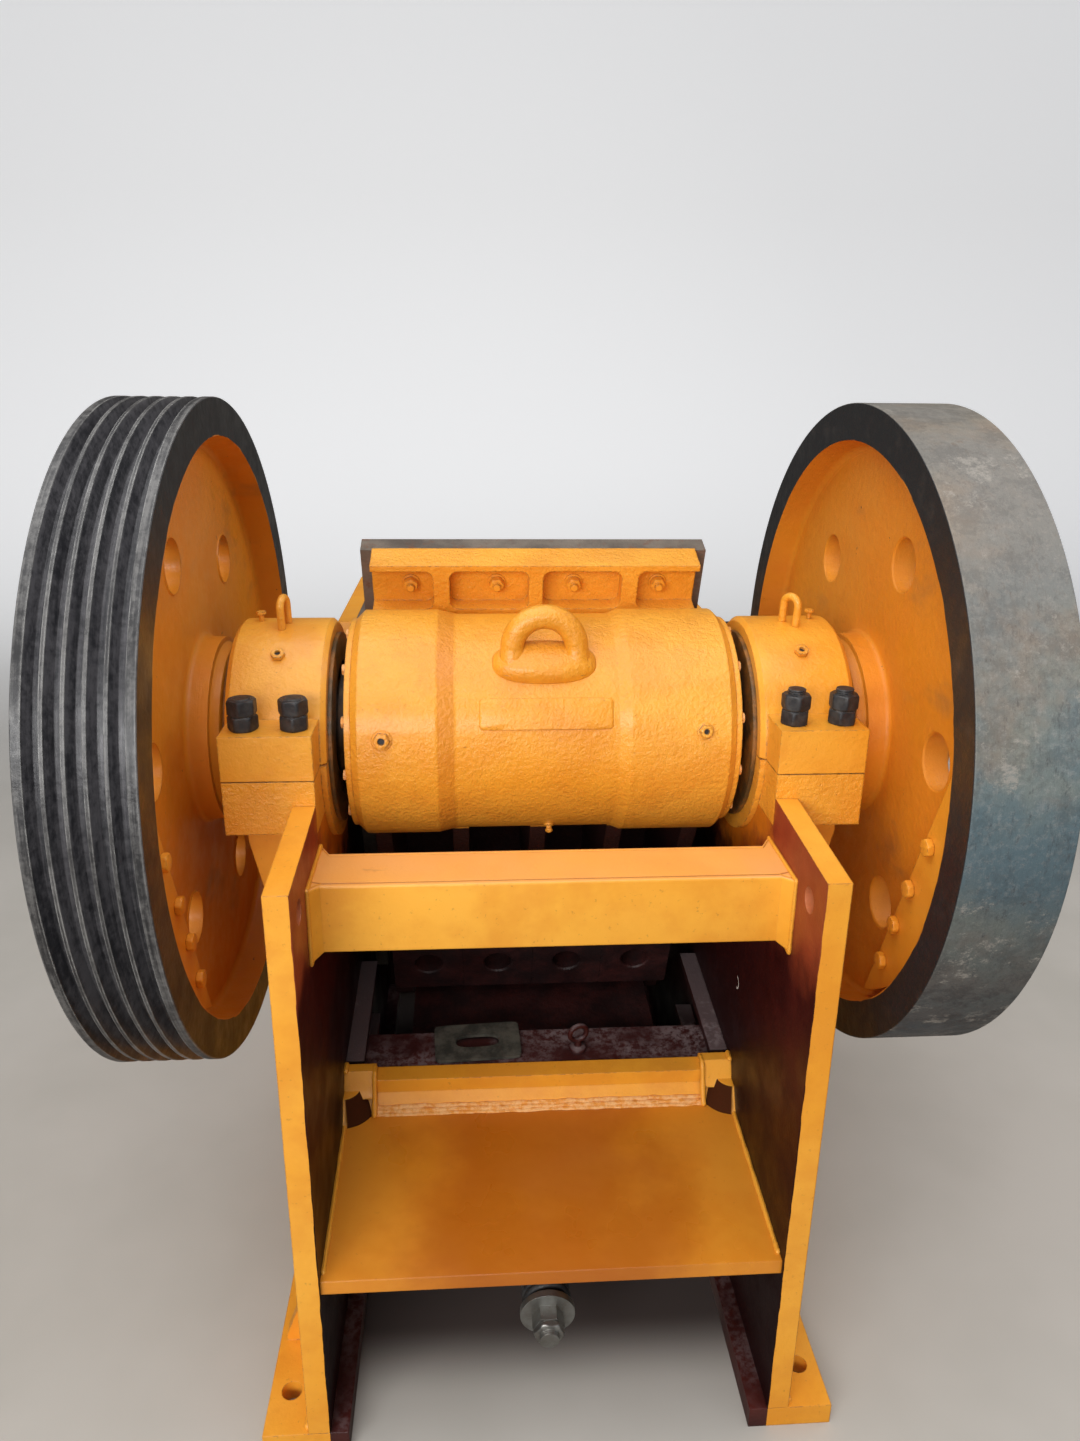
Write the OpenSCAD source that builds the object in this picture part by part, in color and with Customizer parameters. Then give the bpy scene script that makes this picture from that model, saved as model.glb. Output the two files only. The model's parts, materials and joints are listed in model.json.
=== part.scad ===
// Single toggle jaw crusher, 400 mm gape by 600 mm feed width.
// X runs along the shaft, +Y towards the feed side, +Z up. The origin is the centre of the
// foundation bolts on the base plane. Sections marked by a place name are drawn from that place:
// the shaft centre, the eccentric centre in the tilted jaw, or the rear toggle nose.

/* [Shaft and rotor] */
// Height of the shaft above the base
shaft_h = 1090; // [1060:5:1140]
// Distance of the shaft behind the foundation bolt centre
shaft_back = 160; // [140:5:180]
// Throw of the eccentric
ecc = 12; // [8:1:15]
// Direction of the eccentric at rest, from +Y towards +Z
ecc_dir = 22; // [0:2:40]
// Radius of the main journals
journal_r = 80; // [65:1:84]
// Radius of the eccentric journal in the jaw
ecc_r = 100; // [97:1:110]
// Radius of the wheel seats
seat_r = 72; // [60:1:76]
// Running clearance of a journal in its bore
running = 0.1; // [0.05:0.01:0.1]
// Gap kept between moving and standing pieces
moving_gap = 6; // [5:0.5:8]
// Gap of a seated piece
seat_gap = 0.3; // [0.2:0.05:0.5]

/* [Wheels] */
// Outer radius of both wheels
wheel_r = 560; // [530:5:580]
// Width of the rim
wheel_w = 152; // [130:2:170]
// Gap between a bearing housing and the wheel
wheel_gap = 16; // [14:1:24]
// Radial thickness of the rim
rim_t = 65; // [50:1:80]
// Thickness of the web
web_t = 42; // [30:1:50]
// Depth of the web below the inner side of the rim
web_in = 54; // [48:1:56]
// Radius of the hub at the web
hub_r = 185; // [160:5:200]
// Radius of the hub at its inner end
hub_neck_r = 156; // [140:1:158]
// Length of the hub's outer boss beyond the rim
hub_out = 14; // [8:1:24]
// Depth of the step round the hub's inner end
hub_step = 16; // [10:1:20]
// Slope of the hub's sides
hub_slope = 22; // [10:1:30]
// Rounding where the web meets the rim
web_round = 12; // [6:1:14]
// Draft of the rim's inner surface
rim_draft = 4; // [0:1:6]
// Length of a shaft end beyond the hub
shaft_end = 34; // [28:1:50]
// Thickness of the locking ring on a shaft end
lock_t = 22; // [16:1:26]
// Width of the locking ring round the shaft
lock_w = 28; // [20:1:36]
// Number of round holes in a web
web_holes = 6; // [4:1:8]
// Radius of a web hole
web_hole_r = 34; // [25:1:45]
// Radius of the web hole circle
web_circle_r = 335; // [320:5:350]
// Direction of the first web hole
web_phase = 52; // [40:1:60]
// Number of belt grooves
grooves = 5; // [3:1:5]
// Pitch of the belt grooves
groove_pitch = 26; // [24:0.5:27]
// Depth of a belt groove
groove_d = 20; // [15:0.5:24]
// Width of a belt groove at the rim
groove_w = 20; // [16:0.5:22]
// Width of a belt groove at its bottom
groove_root_w = 9; // [6:0.5:12]
// Distance of the counterweight's straight edge from the axis
weight_chord = 372; // [365:1:400]
// Thickness of a counterweight
weight_t = 20; // [14:1:40]
// Gap between a counterweight and the rim
weight_gap = 14; // [8:1:20]

/* [Bearing housings] */
// Radius of the round housings
housing_r = 193; // [185:1:200]
// Reach of a housing inside its side plate
housing_over = 10; // [8:1:16]
// Length of a round housing
housing_w = 160; // [155:1:166]
// Thickness of a cover ring on a housing
cover_t = 7; // [5:0.5:8]
// Radius of a cover ring
cover_r = 168; // [155:1:175]
// Inset of the flange block from the housing's outer end
block_in = 8; // [6:0.5:12]
// Half length of the flange block along Y
block_y = 260; // [250:2:270]
// Height of the cap's flange above the parting plane
cap_h = 74; // [60:1:80]
// Depth of the base's flange below the parting plane
base_h = 89; // [80:1:95]
// Spacing of a cap's bolts along the shaft
cap_bolt_x = 78; // [70:1:90]
// Distance of a cap's bolts from the shaft plane
cap_bolt_y = 222; // [216:1:228]
// Radius of a cap bolt
cap_bolt_r = 15; // [12:0.5:18]
// Height of a cap bolt above its nuts
cap_bolt_over = 16; // [8:1:22]
// Corner radius of a cap nut
nut_r = 24; // [22:0.5:28]
// Height of a cap nut
nut_h = 25; // [18:1:30]
// Turn of a cap's upper nuts
nut_turn = 20; // [0:1:30]
// Chamfer of a cap's ends
cap_edge = 8; // [4:1:12]
// Radius of a lifting eye's bend
eye_r = 15; // [12:1:20]
// Radius of a lifting eye's bar
eye_bar = 6.5; // [5:0.5:8]
// Height of a lifting eye's legs above the cap
eye_leg = 34; // [28:1:40]
// Lean of a lifting eye towards the rear
eye_lean = 8; // [4:1:12]
// Turn of the sheave side's lifting eye from the Y-Z plane
eye_turn_left = 12; // [0:1:40]
// Turn of the flywheel side's lifting eye from the Y-Z plane
eye_turn_right = 35; // [0:1:50]
// Corner radius of a cap's plug
plug_r = 12; // [9:0.5:15]
// Height of a cap's plug
plug_h = 8; // [5:1:12]
// Radius of the socket in a cap's plug
plug_socket_r = 4.8; // [3:0.2:6]
// Direction of a cap's plug, from the top towards the rear
plug_turn = 34; // [25:1:40]
// Distance of a cap's grease nipple from the lifting eye
nipple_x = 44; // [36:1:60]
// Height of a grease nipple
nipple_h = 17; // [12:1:22]

/* [Frame] */
// Clear width between the side plates
inner_w = 730; // [720:2:740]
// Thickness of a side plate
side_t = 36; // [30:1:42]
// Distance of the rear edge behind the shaft
rear_y = 518; // [490:2:540]
// Depth of the top rear corner below the shaft
rear_top = 57; // [50:1:70]
// Depth of the side plate's top edge beside the bearing block
seat_top = 41; // [34:1:50]
// Height of the front of the frame above the shaft
front_top = 100; // [60:5:120]
// Length over which the side plate's edge rises in front of the block
shoulder = 120; // [80:5:160]
// Thickness of the front wall
wall_t = 40; // [30:1:50]
// Depth of the front ribs
rib_d = 62; // [50:1:80]
// Thickness of the front ribs
rib_t = 25; // [20:1:30]
// Number of level ribs
rib_rows = 4; // [3:1:5]
// Number of upright ribs
rib_columns = 3; // [2:1:4]
// Depth of the ledge under the fixed plate
ledge_d = 50; // [40:1:60]
// Height of the ledge under the fixed plate
ledge_h = 36; // [25:1:45]
// Height of the ledge above the base
ledge_z = 300; // [280:5:320]
// Radius of a side plate's lifting hole
hole_r = 19.5; // [16:0.5:22]
// Distance of the lifting hole behind the shaft
hole_y = 455; // [440:1:470]
// Depth of the lifting hole below the shaft
hole_z = 117; // [110:1:140]
// Width of a foot outside the side plate
foot_w = 75; // [60:1:90]
// Thickness of a foot
foot_t = 40; // [30:1:50]
// Reach of a foot inside its side plate
foot_in = 30; // [20:1:50]
// Height of a foot's gussets
gusset_h = 150; // [100:5:180]
// Pitch of the gussets as a share of the frame's length
gusset_share = 0.36; // [0.3:0.01:0.42]
// Blunt edge of the gussets and brackets
blunt = 12; // [8:1:16]
// Distance of the foundation bolts outside the side plate
bolt_out = 39; // [34:1:44]
// Spacing of the foundation bolts along Y
bolt_y = 1200; // [1100:10:1240]
// Radius of a foundation hole
bolt_r = 17; // [13:0.5:20]
// Distance of the top beam's front behind the shaft
beam_y = 245; // [240:1:255]
// Depth of the top beam along Y
beam_d = 155; // [140:1:165]
// Depth of the top beam's upper face below the shaft
beam_z = 115; // [105:1:125]
// Height of the top beam
beam_h = 123; // [100:1:135]
// Leg of the weld fillets at the beam ends
weld = 16; // [8:1:20]
// Thickness of a bearing bracket's shelf
bracket_t = 24; // [18:1:36]
// Inset of a bearing bracket from the block above it
bracket_in = 28; // [16:1:40]
// Height of a bearing bracket below the block
bracket_h = 330; // [280:5:360]

/* [Jaw plates] */
// Gape between the plates at the top of the fixed plate
gape = 400; // [380:5:420]
// Lean of the swing jaw from the vertical
lean = 20; // [18:0.5:21]
// Thickness of a jaw plate with its teeth
plate_t = 70; // [60:1:76]
// Height of the teeth
tooth_h = 28; // [20:1:34]
// Half width of a tooth's crest as a share of the pitch
crest_share = 0.17; // [0.1:0.01:0.2]
// Number of teeth on the fixed plate
teeth = 8; // [6:1:9]
// Length of the swing jaw plate below the eccentric centre
plate_low = 955; // [940:5:970]
// Thickness of a cheek plate
cheek_t = 28; // [24:1:29]
// Gap of the fixed plate to the cheek plates
cheek_gap = 1; // [0.5:0.5:2]
// Reach of a cheek plate behind the swing plate's face
cheek_back = 150; // [130:5:170]
// Height of the fixed plate above the frame
plate_over = 20; // [10:1:30]
// Height of the plain band above the swing plate's teeth
plain_band = 60; // [40:5:80]
// Depth of the swing plate's top below the top of the head
plate_under = 4; // [2:0.5:8]
// Gap between the swing plate and a cheek plate
jaw_gap = 13; // [11:1:18]

/* [Swing jaw] */
// Radius of the barrel's ends
barrel_r = 200; // [194:1:204]
// Radius of the barrel's middle
middle_r = 192; // [186:1:197]
// Gap between the cover rings of the barrel and the housing
end_gap = 20; // [10:1:24]
// Chamfer of the barrel's ends
barrel_edge = 12; // [6:1:16]
// Length of the slope at the sheave side's shoulder
slope_left = 34; // [20:1:50]
// Length of the slope at the flywheel side's shoulder
slope_right = 20; // [12:1:40]
// Length of the thick end on the sheave side
thick_left = 138; // [120:1:160]
// Length of the thick end on the flywheel side
thick_right = 176; // [150:1:190]
// Thickness of a cover ring on the barrel
ring_t = 10; // [8:0.5:11]
// Radius of a cover ring on the barrel
ring_r = 185; // [175:1:190]
// Reach of the swing plate beyond each side of the jaw casting
plate_side = 22; // [18:1:30]
// Height of the head above the eccentric centre along the jaw
head_top = 218; // [212:1:226]
// Distance of the plate seat from the eccentric centre
face = 239; // [232:1:246]
// Thickness of the head
head_t = 65; // [56:1:70]
// Depth of the head's pockets
pocket_d = 32; // [20:1:36]
// Height of the head's pockets
pocket_h = 80; // [70:1:84]
// Thickness of the head above its pockets
pocket_top = 12; // [10:1:16]
// Corner radius of the head's pockets
pocket_r = 16; // [10:1:20]
// Thickness of the middle rib between the pockets
pocket_rib = 26; // [20:1:32]
// Distance of the outer ribs between the pockets from the middle
pocket_x = 174; // [166:1:182]
// Distance of the inner plate bolts from the middle
bolt_in = 72; // [60:1:90]
// Distance of the outer plate bolts from the middle
bolt_far = 231; // [222:1:245]
// Radius of a plate bolt
plate_bolt_r = 8.5; // [7:0.5:10]
// Corner radius of a plate bolt's nut
plate_nut_r = 16; // [14:0.5:20]
// Height of a plate bolt's nut
plate_nut_h = 14; // [10:1:18]
// Thickness of the casting's face wall
face_t = 42; // [34:1:50]
// Thickness of a back rib
jaw_rib_t = 30; // [24:1:36]
// Height of the toggle block on the jaw
toggle_block_h = 170; // [150:2:190]
// Depth of the toggle block's top below the eccentric centre, along the jaw
block_top = 640; // [630:2:650]
// Distance of the toggle block's back from the eccentric centre, across the jaw
block_back = 5; // [0:1:10]
// Thickness of the wedge bar under the swing plate
wedge_h = 34; // [26:1:40]
// Mean radius of the lifting lug
lug_r = 53; // [48:1:60]
// Radius of the lug's bar
lug_bar_r = 20; // [15:0.5:23]
// Radius of the lug's legs at their foot
lug_foot_r = 28; // [24:1:32]
// Distance of the lifting lug behind the shaft
lug_y = 116; // [112:1:122]
// Height of the lifting lug's middle above the eccentric centre
lug_z = 168; // [162:1:174]
// Length of the lifting lug's legs below its middle
lug_leg = 40; // [36:1:48]
// Height of the cast web between the lug's legs
lug_web = 20; // [14:1:24]

/* [Toggle] */
// Thickness of the toggle beam's walls
beam_t = 36; // [30:1:40]
// Height of the toggle beam's top above the toggle
beam_top = 65; // [63:1:72]
// Depth of the toggle beam's bottom below the toggle
beam_low = 190; // [175:5:195]
// Distance of the toggle beam's front behind the rear nose
beam_front = 112; // [108:1:118]
// Depth of the toggle beam along the toggle
box_d = 110; // [100:5:120]
// Height of the rear shelf's upper face above the toggle
shelf_top = 8; // [0:1:14]
// Thickness of the rear shelf
shelf_t = 25; // [20:1:30]
// Distance of the rear shelf's edge inside the side plates' edge
shelf_in = 8; // [4:1:12]
// Width of the ears on the toggle beam
ear_w = 58; // [50:1:64]
// Height of the ears above the toggle beam
ear_up = 16; // [12:1:20]
// Leg of the long weld between toggle beam and shelf
shelf_weld = 28; // [20:1:34]
// Half height of the adjusting block
block_h = 62; // [58:1:64]
// Gap of the adjusting block to each side plate
block_gap = 3; // [2:0.5:5]
// Distance of the adjusting block's face behind the rear nose
block_face = 18; // [14:1:22]
// Length of a guide rail in front of the rear nose
rail_l = 196; // [180:2:200]
// Distance of a guide rail's rear end in front of the toggle beam
rail_gap = 2; // [1:0.5:5]
// Thickness of a guide rail
rail_t = 17; // [14:1:20]
// Width of a guide rail
rail_w = 34; // [28:1:38]
// Rear toggle nose behind the shaft
nose_y = 5; // [0:1:15]
// Rear toggle nose below the shaft
nose_z = 702; // [695:1:712]
// Rise of the toggle towards the jaw
rise = 4.6; // [3:0.2:6]
// Radius of the toggle's noses
nose_r = 24; // [20:1:28]
// Distance between the toggle's noses
toggle_l = 252; // [248:1:256]
// Width of the toggle plate
toggle_w = 500; // [440:5:520]
// Thickness of the toggle plate
toggle_t = 36; // [30:1:40]
// Wall of a toggle seat round its groove
seat_wall = 14; // [10:1:18]
// Reach of a toggle seat beyond each side of the toggle plate
seat_side = 12; // [8:1:16]
// Distance of the rear seat's face behind the rear nose
seat_face = 12; // [8:1:16]
// Depth of the jaw's toggle seat
seat_d = 62; // [56:1:66]
// Radius of the tension rod
rod_r = 17; // [14:0.5:20]
// Depth of the tension rod below the rear toggle nose
rod_drop = 218; // [214:1:226]
// Radius of the pin that holds the tension rod
pin_r = 14; // [11:0.5:16]
// Width of the pin's head round it
pin_head = 7; // [5:0.5:9]
// Thickness of the pin's head
pin_head_t = 5; // [4:0.5:8]
// Width of the rod's front eye
eye_w = 28; // [22:1:32]
// Wall of the rod's front eye
eye_wall = 18; // [14:1:22]
// Gap between the jaw's rear lugs and the middle
lug_in = 24; // [20:1:30]
// Thickness of a rear lug
lug_t = 24; // [20:1:28]
// Radius of a rear lug's boss
lug_boss_r = 32; // [26:1:34]
// Length of the tension rod behind its washer
rod_over = 60; // [50:1:70]
// Radius of the tension rod's washer
washer_r = 48; // [42:1:54]
// Thickness of the tension rod's washer
washer_t = 12; // [8:1:16]
// Height of the tension rod's nut
rod_nut_h = 26; // [20:1:32]
// Corner radius of the tension rod's nut
rod_nut_r = 28; // [24:1:34]
// Half width of the bracket under the toggle beam
rod_bracket_w = 60; // [54:1:70]
// Thickness of the bracket under the toggle beam
rod_bracket_t = 30; // [24:1:36]
// Length of the return spring
spring_l = 190; // [170:5:200]
// Mean radius of the return spring
spring_r = 36; // [32:1:40]
// Number of turns of the return spring
turns = 11; // [9:1:13]
// Distance of the tension rod's front eye before the rear toggle nose
eye_y = 417; // [411:1:421]

/* [Hidden] */
$fn = 96;
orange = "#f09a2c";
maroon = "#5a1f1c";
black = "#23252a";
steel = "#8b8c88";

// Eccentric centre from the shaft centre, and places in the frame
ecc_y = ecc * cos(ecc_dir);
ecc_z = ecc * sin(ecc_dir);
half_in = inner_w / 2;
half_out = half_in + side_t;
bolt_x = 2 * (half_out + bolt_out);
// Places along the shaft, from the middle
housing_x = half_in - housing_over;
housing_end = housing_x + housing_w;
block_end = housing_end - block_in;
block_w = block_end - half_in;
wheel_x = housing_end + wheel_gap;
web_x = wheel_x + web_in;
barrel_w = 2 * (housing_x - cover_t - ring_t - end_gap);
plate_w = 2 * (half_in - cheek_t - jaw_gap);
jaw_w = plate_w - 2 * plate_side;
// Front face of the swing plate at a height above the shaft
function jaw_y(z) = ecc_y + (face + plate_t) / cos(lean) - (z - ecc_z) * tan(lean);
fixed_y = jaw_y(front_top) + gape;
wall_y = fixed_y + plate_t;
front_y = wall_y + wall_t + rib_d;
frame_l = rear_y + front_y;
plate_bottom = -shaft_h + ledge_z;
cheek_low = plate_bottom - ledge_h / 4;
// Half width of a toggle seat, and rear face of the toggle beam
seat_half = toggle_w / 2 + seat_side;
beam_back = -beam_front - box_d;
// Overlap of pieces that are one solid, and a length past everything
mate = 2;
far = 2000;

// Draws its children from the shaft centre
module at_shaft() {
  translate([0, -shaft_back, shaft_h]) children();
}

// Draws its children from the eccentric centre, with Z up along the leaning jaw
module at_jaw() {
  at_shaft() translate([0, ecc_y, ecc_z]) rotate([lean, 0, 0]) children();
}

// Draws its children from the rear toggle nose, with Y along the toggle
module at_toggle() {
  at_shaft() translate([0, nose_y, -nose_z]) rotate([rise, 0, 0]) children();
}

// Cylinder along X, from x0 to x1
module bar_x(r, x0, x1) {
  translate([x0, 0, 0]) rotate([0, 90, 0]) cylinder(r = r, h = x1 - x0);
}

// Box given by its low corner and its high corner
module box(low, high) {
  translate(low) cube(high - low);
}

// Outline in Y and Z, extruded along X from x0 to x1
module profile_x(x0, x1) {
  translate([x0, 0, 0]) rotate([90, 0, 90]) linear_extrude(x1 - x0) children();
}

// Frame, left and right

module side_plate() {
  color(orange) at_shaft() difference() {
    profile_x(half_in, half_out) difference() {
      polygon([
        [-rear_y, -shaft_h + foot_t], [-rear_y, -rear_top], [-block_y - seat_gap, -seat_top],
        [block_y + seat_gap, -seat_top], [block_y + shoulder, front_top], [front_y, front_top],
        [front_y, -shaft_h + foot_t]
      ]);
      translate([-block_y - seat_gap, -base_h]) square([2 * (block_y + seat_gap), far]);
      circle(r = housing_r + seat_gap);
      translate([-hole_y, -hole_z]) circle(r = hole_r);
    }
  }
}

module side_plate_right() {
  side_plate();
}

module side_plate_left() {
  mirror([1, 0, 0]) side_plate();
}

// Foot flange, resting on the floor, with two foundation holes and gussets above it
module foot() {
  gusset_pitch = gusset_share * frame_l;
  reach = foot_w - blunt;
  color(orange) difference() {
    union() {
      translate([half_in - foot_in, -shaft_back - rear_y, 0])
        cube([side_t + foot_in + foot_w, frame_l, foot_t]);
      for (i = [-1:1]) translate([half_out, i * gusset_pitch + rib_t, foot_t - mate])
        rotate([90, 0, 0]) linear_extrude(rib_t)
          polygon([[0, 0], [reach, 0], [reach, mate + blunt], [blunt, gusset_h], [0, gusset_h]]);
    }
    for (y = [-1, 1]) translate([bolt_x / 2, y * bolt_y / 2, -mate])
      cylinder(r = bolt_r, h = foot_t + 2 * mate);
  }
}

module foot_right() {
  foot();
}

module foot_left() {
  mirror([1, 0, 0]) foot();
}

// Bracket outside the side plate that carries the overhanging part of the bearing base
module bearing_bracket() {
  end = block_end - bracket_in;
  color(orange) at_shaft() difference() {
    union() {
      box([half_out, -block_y + bracket_in, -base_h - bracket_t], [end, block_y - bracket_in, -base_h]);
      for (y = [-block_y + bracket_in, block_y - bracket_in - rib_t]) translate([0, y, 0])
        rotate([90, 0, 0]) mirror([0, 0, 1]) linear_extrude(rib_t)
          polygon([
            [half_out, -base_h - bracket_t], [end, -base_h - bracket_t],
            [half_out + blunt, -base_h - bracket_h], [half_out, -base_h - bracket_h]
          ]);
    }
    bar_x(housing_r + seat_gap, 0, far);
  }
}

module bearing_bracket_right() {
  bearing_bracket();
}

module bearing_bracket_left() {
  mirror([1, 0, 0]) bearing_bracket();
}

// Lower half of a bearing housing
module bearing_base() {
  color(orange) at_shaft() difference() {
    union() {
      bar_x(housing_r, housing_x, housing_end);
      translate([half_in, -block_y, -base_h]) cube([block_w, 2 * block_y, base_h]);
    }
    box([0, -far, 0], [far, far, far]);
    bar_x(journal_r + running, 0, far);
  }
}

module bearing_base_right() {
  bearing_base();
}

module bearing_base_left() {
  mirror([1, 0, 0]) bearing_base();
}

// Upper half of a bearing housing, with chamfered ends
module bearing_cap() {
  color(orange) at_shaft() difference() {
    union() {
      bar_x(housing_r, housing_x + cap_edge, housing_end - cap_edge);
      translate([housing_x, 0, 0]) rotate([0, 90, 0])
        cylinder(r1 = housing_r - cap_edge, r2 = housing_r, h = cap_edge);
      translate([housing_end - cap_edge, 0, 0]) rotate([0, 90, 0])
        cylinder(r1 = housing_r, r2 = housing_r - cap_edge, h = cap_edge);
      translate([half_in, -block_y, 0]) cube([block_w, 2 * block_y, cap_h]);
    }
    box([0, -far, -far], [far, far, 0]);
    bar_x(journal_r + running, 0, far);
  }
}

module bearing_cap_right() {
  bearing_cap();
}

module bearing_cap_left() {
  mirror([1, 0, 0]) bearing_cap();
}

// Four stud ends with double nuts on a cap
module cap_bolts() {
  color(black) at_shaft() for (x = [-1, 1], y = [-1, 1])
    translate([housing_x + housing_w / 2 + x * cap_bolt_x / 2, y * cap_bolt_y, cap_h]) {
      cylinder(r = nut_r, h = nut_h, $fn = 6);
      translate([0, 0, nut_h]) rotate([0, 0, nut_turn]) cylinder(r = nut_r, h = nut_h, $fn = 6);
      cylinder(r = cap_bolt_r, h = 2 * nut_h + cap_bolt_over);
    }
}

module cap_bolts_right() {
  cap_bolts();
}

module cap_bolts_left() {
  mirror([1, 0, 0]) cap_bolts();
}

// Bent bar welded on a cap: two legs and a half ring between them, both sunk in the round cap
module lifting_eye(turn) {
  translate([housing_x + housing_w / 2, 0, 0]) rotate([eye_lean, 0, 0]) difference() {
    rotate([0, 0, turn]) {
      for (y = [-eye_r, eye_r]) translate([0, y, housing_r - eye_bar])
        cylinder(r = eye_bar, h = eye_bar + eye_leg);
      translate([0, 0, housing_r + eye_leg]) rotate([90, 0, 90]) rotate_extrude(angle = 180)
        translate([eye_r, 0]) circle(r = eye_bar);
    }
    bar_x(housing_r, -far, far);
  }
}

// Lifting eye, hex plug and grease nipple on each cap
module cap_fittings() {
  mid_x = housing_x + housing_w / 2;
  for (s = [0, 1]) mirror([s, 0, 0]) at_shaft() {
    color(orange) lifting_eye(s == 1 ? eye_turn_left : eye_turn_right);
    color(orange) rotate([plug_turn, 0, 0]) translate([mid_x, 0, housing_r]) difference() {
      cylinder(r = plug_r, h = plug_h, $fn = 6);
      translate([0, 0, plug_h / 3]) cylinder(r = plug_socket_r, h = far);
    }
    color(orange) translate([mid_x + nipple_x, 0, housing_r]) {
      cylinder(r = nipple_h / 4, h = nipple_h);
      translate([0, 0, nipple_h * 2 / 3]) cylinder(r = nipple_h / 2, h = nipple_h / 3, $fn = 6);
    }
  }
}

// Cover rings on both ends of a housing
module bearing_cover() {
  color(orange) at_shaft() difference() {
    union() {
      bar_x(cover_r, housing_x - cover_t, housing_x);
      bar_x(cover_r, housing_end, housing_end + cover_t);
    }
    bar_x(ecc_r + ecc + moving_gap, 0, housing_x - seat_gap);
    bar_x(journal_r + moving_gap, 0, far);
  }
}

module bearing_cover_right() {
  bearing_cover();
}

module bearing_cover_left() {
  mirror([1, 0, 0]) bearing_cover();
}

// Frame, across

module front_wall() {
  ledge_x = half_in - cheek_t - cheek_gap;
  color(orange) at_shaft() union() {
    box([-half_in, wall_y, -shaft_h + foot_t], [half_in, wall_y + wall_t, front_top]);
    box([-ledge_x, wall_y - ledge_d, plate_bottom - ledge_h], [ledge_x, wall_y + mate, plate_bottom]);
  }
}

// Grid of ribs on the feed side of the front wall: level ribs, and uprights between them
module front_ribs() {
  low = -shaft_h + foot_t;
  step_x = inner_w / (rib_columns + 1);
  step_z = (front_top - low - rib_t) / rib_rows;
  color(orange) at_shaft() translate([-half_in, wall_y + wall_t, low]) {
    for (i = [0:rib_rows]) translate([0, 0, i * step_z]) cube([inner_w, rib_d, rib_t]);
    for (i = [0:rib_rows - 1], j = [1:rib_columns])
      translate([j * step_x - rib_t / 2, 0, i * step_z + rib_t + seat_gap])
        cube([rib_t, rib_d - rib_t / 2, step_z - rib_t - 2 * seat_gap]);
  }
}

// Box beam between the rear ends of the side plates, with weld fillets at both ends
module rear_top_beam() {
  color(orange) at_shaft() translate([0, -beam_y - beam_d, -beam_z - beam_h]) union() {
    translate([-half_in, 0, 0]) cube([inner_w, beam_d, beam_h]);
    for (s = [0, 1]) mirror([s, 0, 0]) {
      translate([half_in, 0, 0]) linear_extrude(beam_h)
        polygon([[0, mate], [0, -weld], [-weld, 0], [-weld, mate]]);
      translate([half_in, beam_d, 0]) rotate([90, 0, 0]) linear_extrude(beam_d)
        polygon([[0, mate], [0, -weld], [-weld, 0], [-weld, mate]]);
    }
  }
}

// Box beam that takes the thrust of the toggle, with a long weld and an ear at each end. An ear is
// a block over the beam's wall with a round cone below it that runs out on the shelf.
module toggle_beam() {
  wall = -beam_front - beam_t;
  color(orange) at_toggle() union() {
    profile_x(-half_in, half_in) difference() {
      polygon([
        [-beam_front, -beam_low], [-beam_front, beam_top], [wall, beam_top],
        [wall, shelf_top + shelf_weld], [wall - shelf_weld, shelf_top], [wall, shelf_top],
        [wall, shelf_top - shelf_t], [beam_back, shelf_top - shelf_t], [beam_back, -beam_low]
      ]);
      translate([beam_back + shelf_t, -beam_low + shelf_t])
        square([box_d - shelf_t - beam_t, beam_low - 3 * shelf_t + shelf_top]);
    }
    for (s = [0, 1]) mirror([s, 0, 0]) intersection() {
      union() {
        profile_x(half_in - ear_w, half_in) polygon([
          [wall + mate, shelf_top + shelf_weld], [-beam_front, beam_top - mate],
          [-beam_front, beam_top + ear_up / 2], [-beam_front - ear_up / 2, beam_top + ear_up],
          [wall + ear_up / 2, beam_top + ear_up], [wall - ear_up / 2, beam_top - ear_up],
          [wall - ear_up, shelf_top + shelf_weld]
        ]);
        translate([half_in, wall, shelf_top])
          cylinder(r1 = ear_w, r2 = ear_w / 2, h = beam_top - shelf_top - ear_up);
      }
      box([half_in - ear_w, -far, shelf_top], [half_in, -beam_front, far]);
    }
  }
}

// Sloping plate behind the toggle beam
module rear_shelf() {
  color(orange) difference() {
    at_toggle() box([-half_in, -rear_y, shelf_top - shelf_t], [half_in, -beam_front - beam_t, shelf_top]);
    at_shaft() box([-far, -far, -far], [far, -rear_y + shelf_in, far]);
  }
}

// Upper and lower rail on the inner side of a side plate, which guide the adjusting block
module guide_rail() {
  color(maroon) at_toggle() for (s = [0, 1]) mirror([0, 0, s])
    box([half_in - rail_w, -beam_front + rail_gap, block_h], [half_in, rail_l, block_h + rail_t]);
}

module guide_rail_right() {
  guide_rail();
}

module guide_rail_left() {
  mirror([1, 0, 0]) guide_rail();
}

// Block between the rails that carries the rear toggle seat
module adjusting_block() {
  half = half_in - block_gap;
  color(maroon) at_toggle() difference() {
    box([-half, -beam_front, -block_h + seat_gap], [half, -block_face, block_h - seat_gap]);
    bar_x(nose_r + seat_wall + seat_gap, -seat_half - seat_gap, seat_half + seat_gap);
  }
}

// Hardened seat for the rear nose of the toggle
module rear_toggle_seat() {
  color(steel) at_toggle() difference() {
    bar_x(nose_r + seat_wall, -seat_half, seat_half);
    bar_x(nose_r + seat_gap, -far, far);
    box([-far, -seat_face, -far], [far, far, far]);
  }
}

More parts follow.
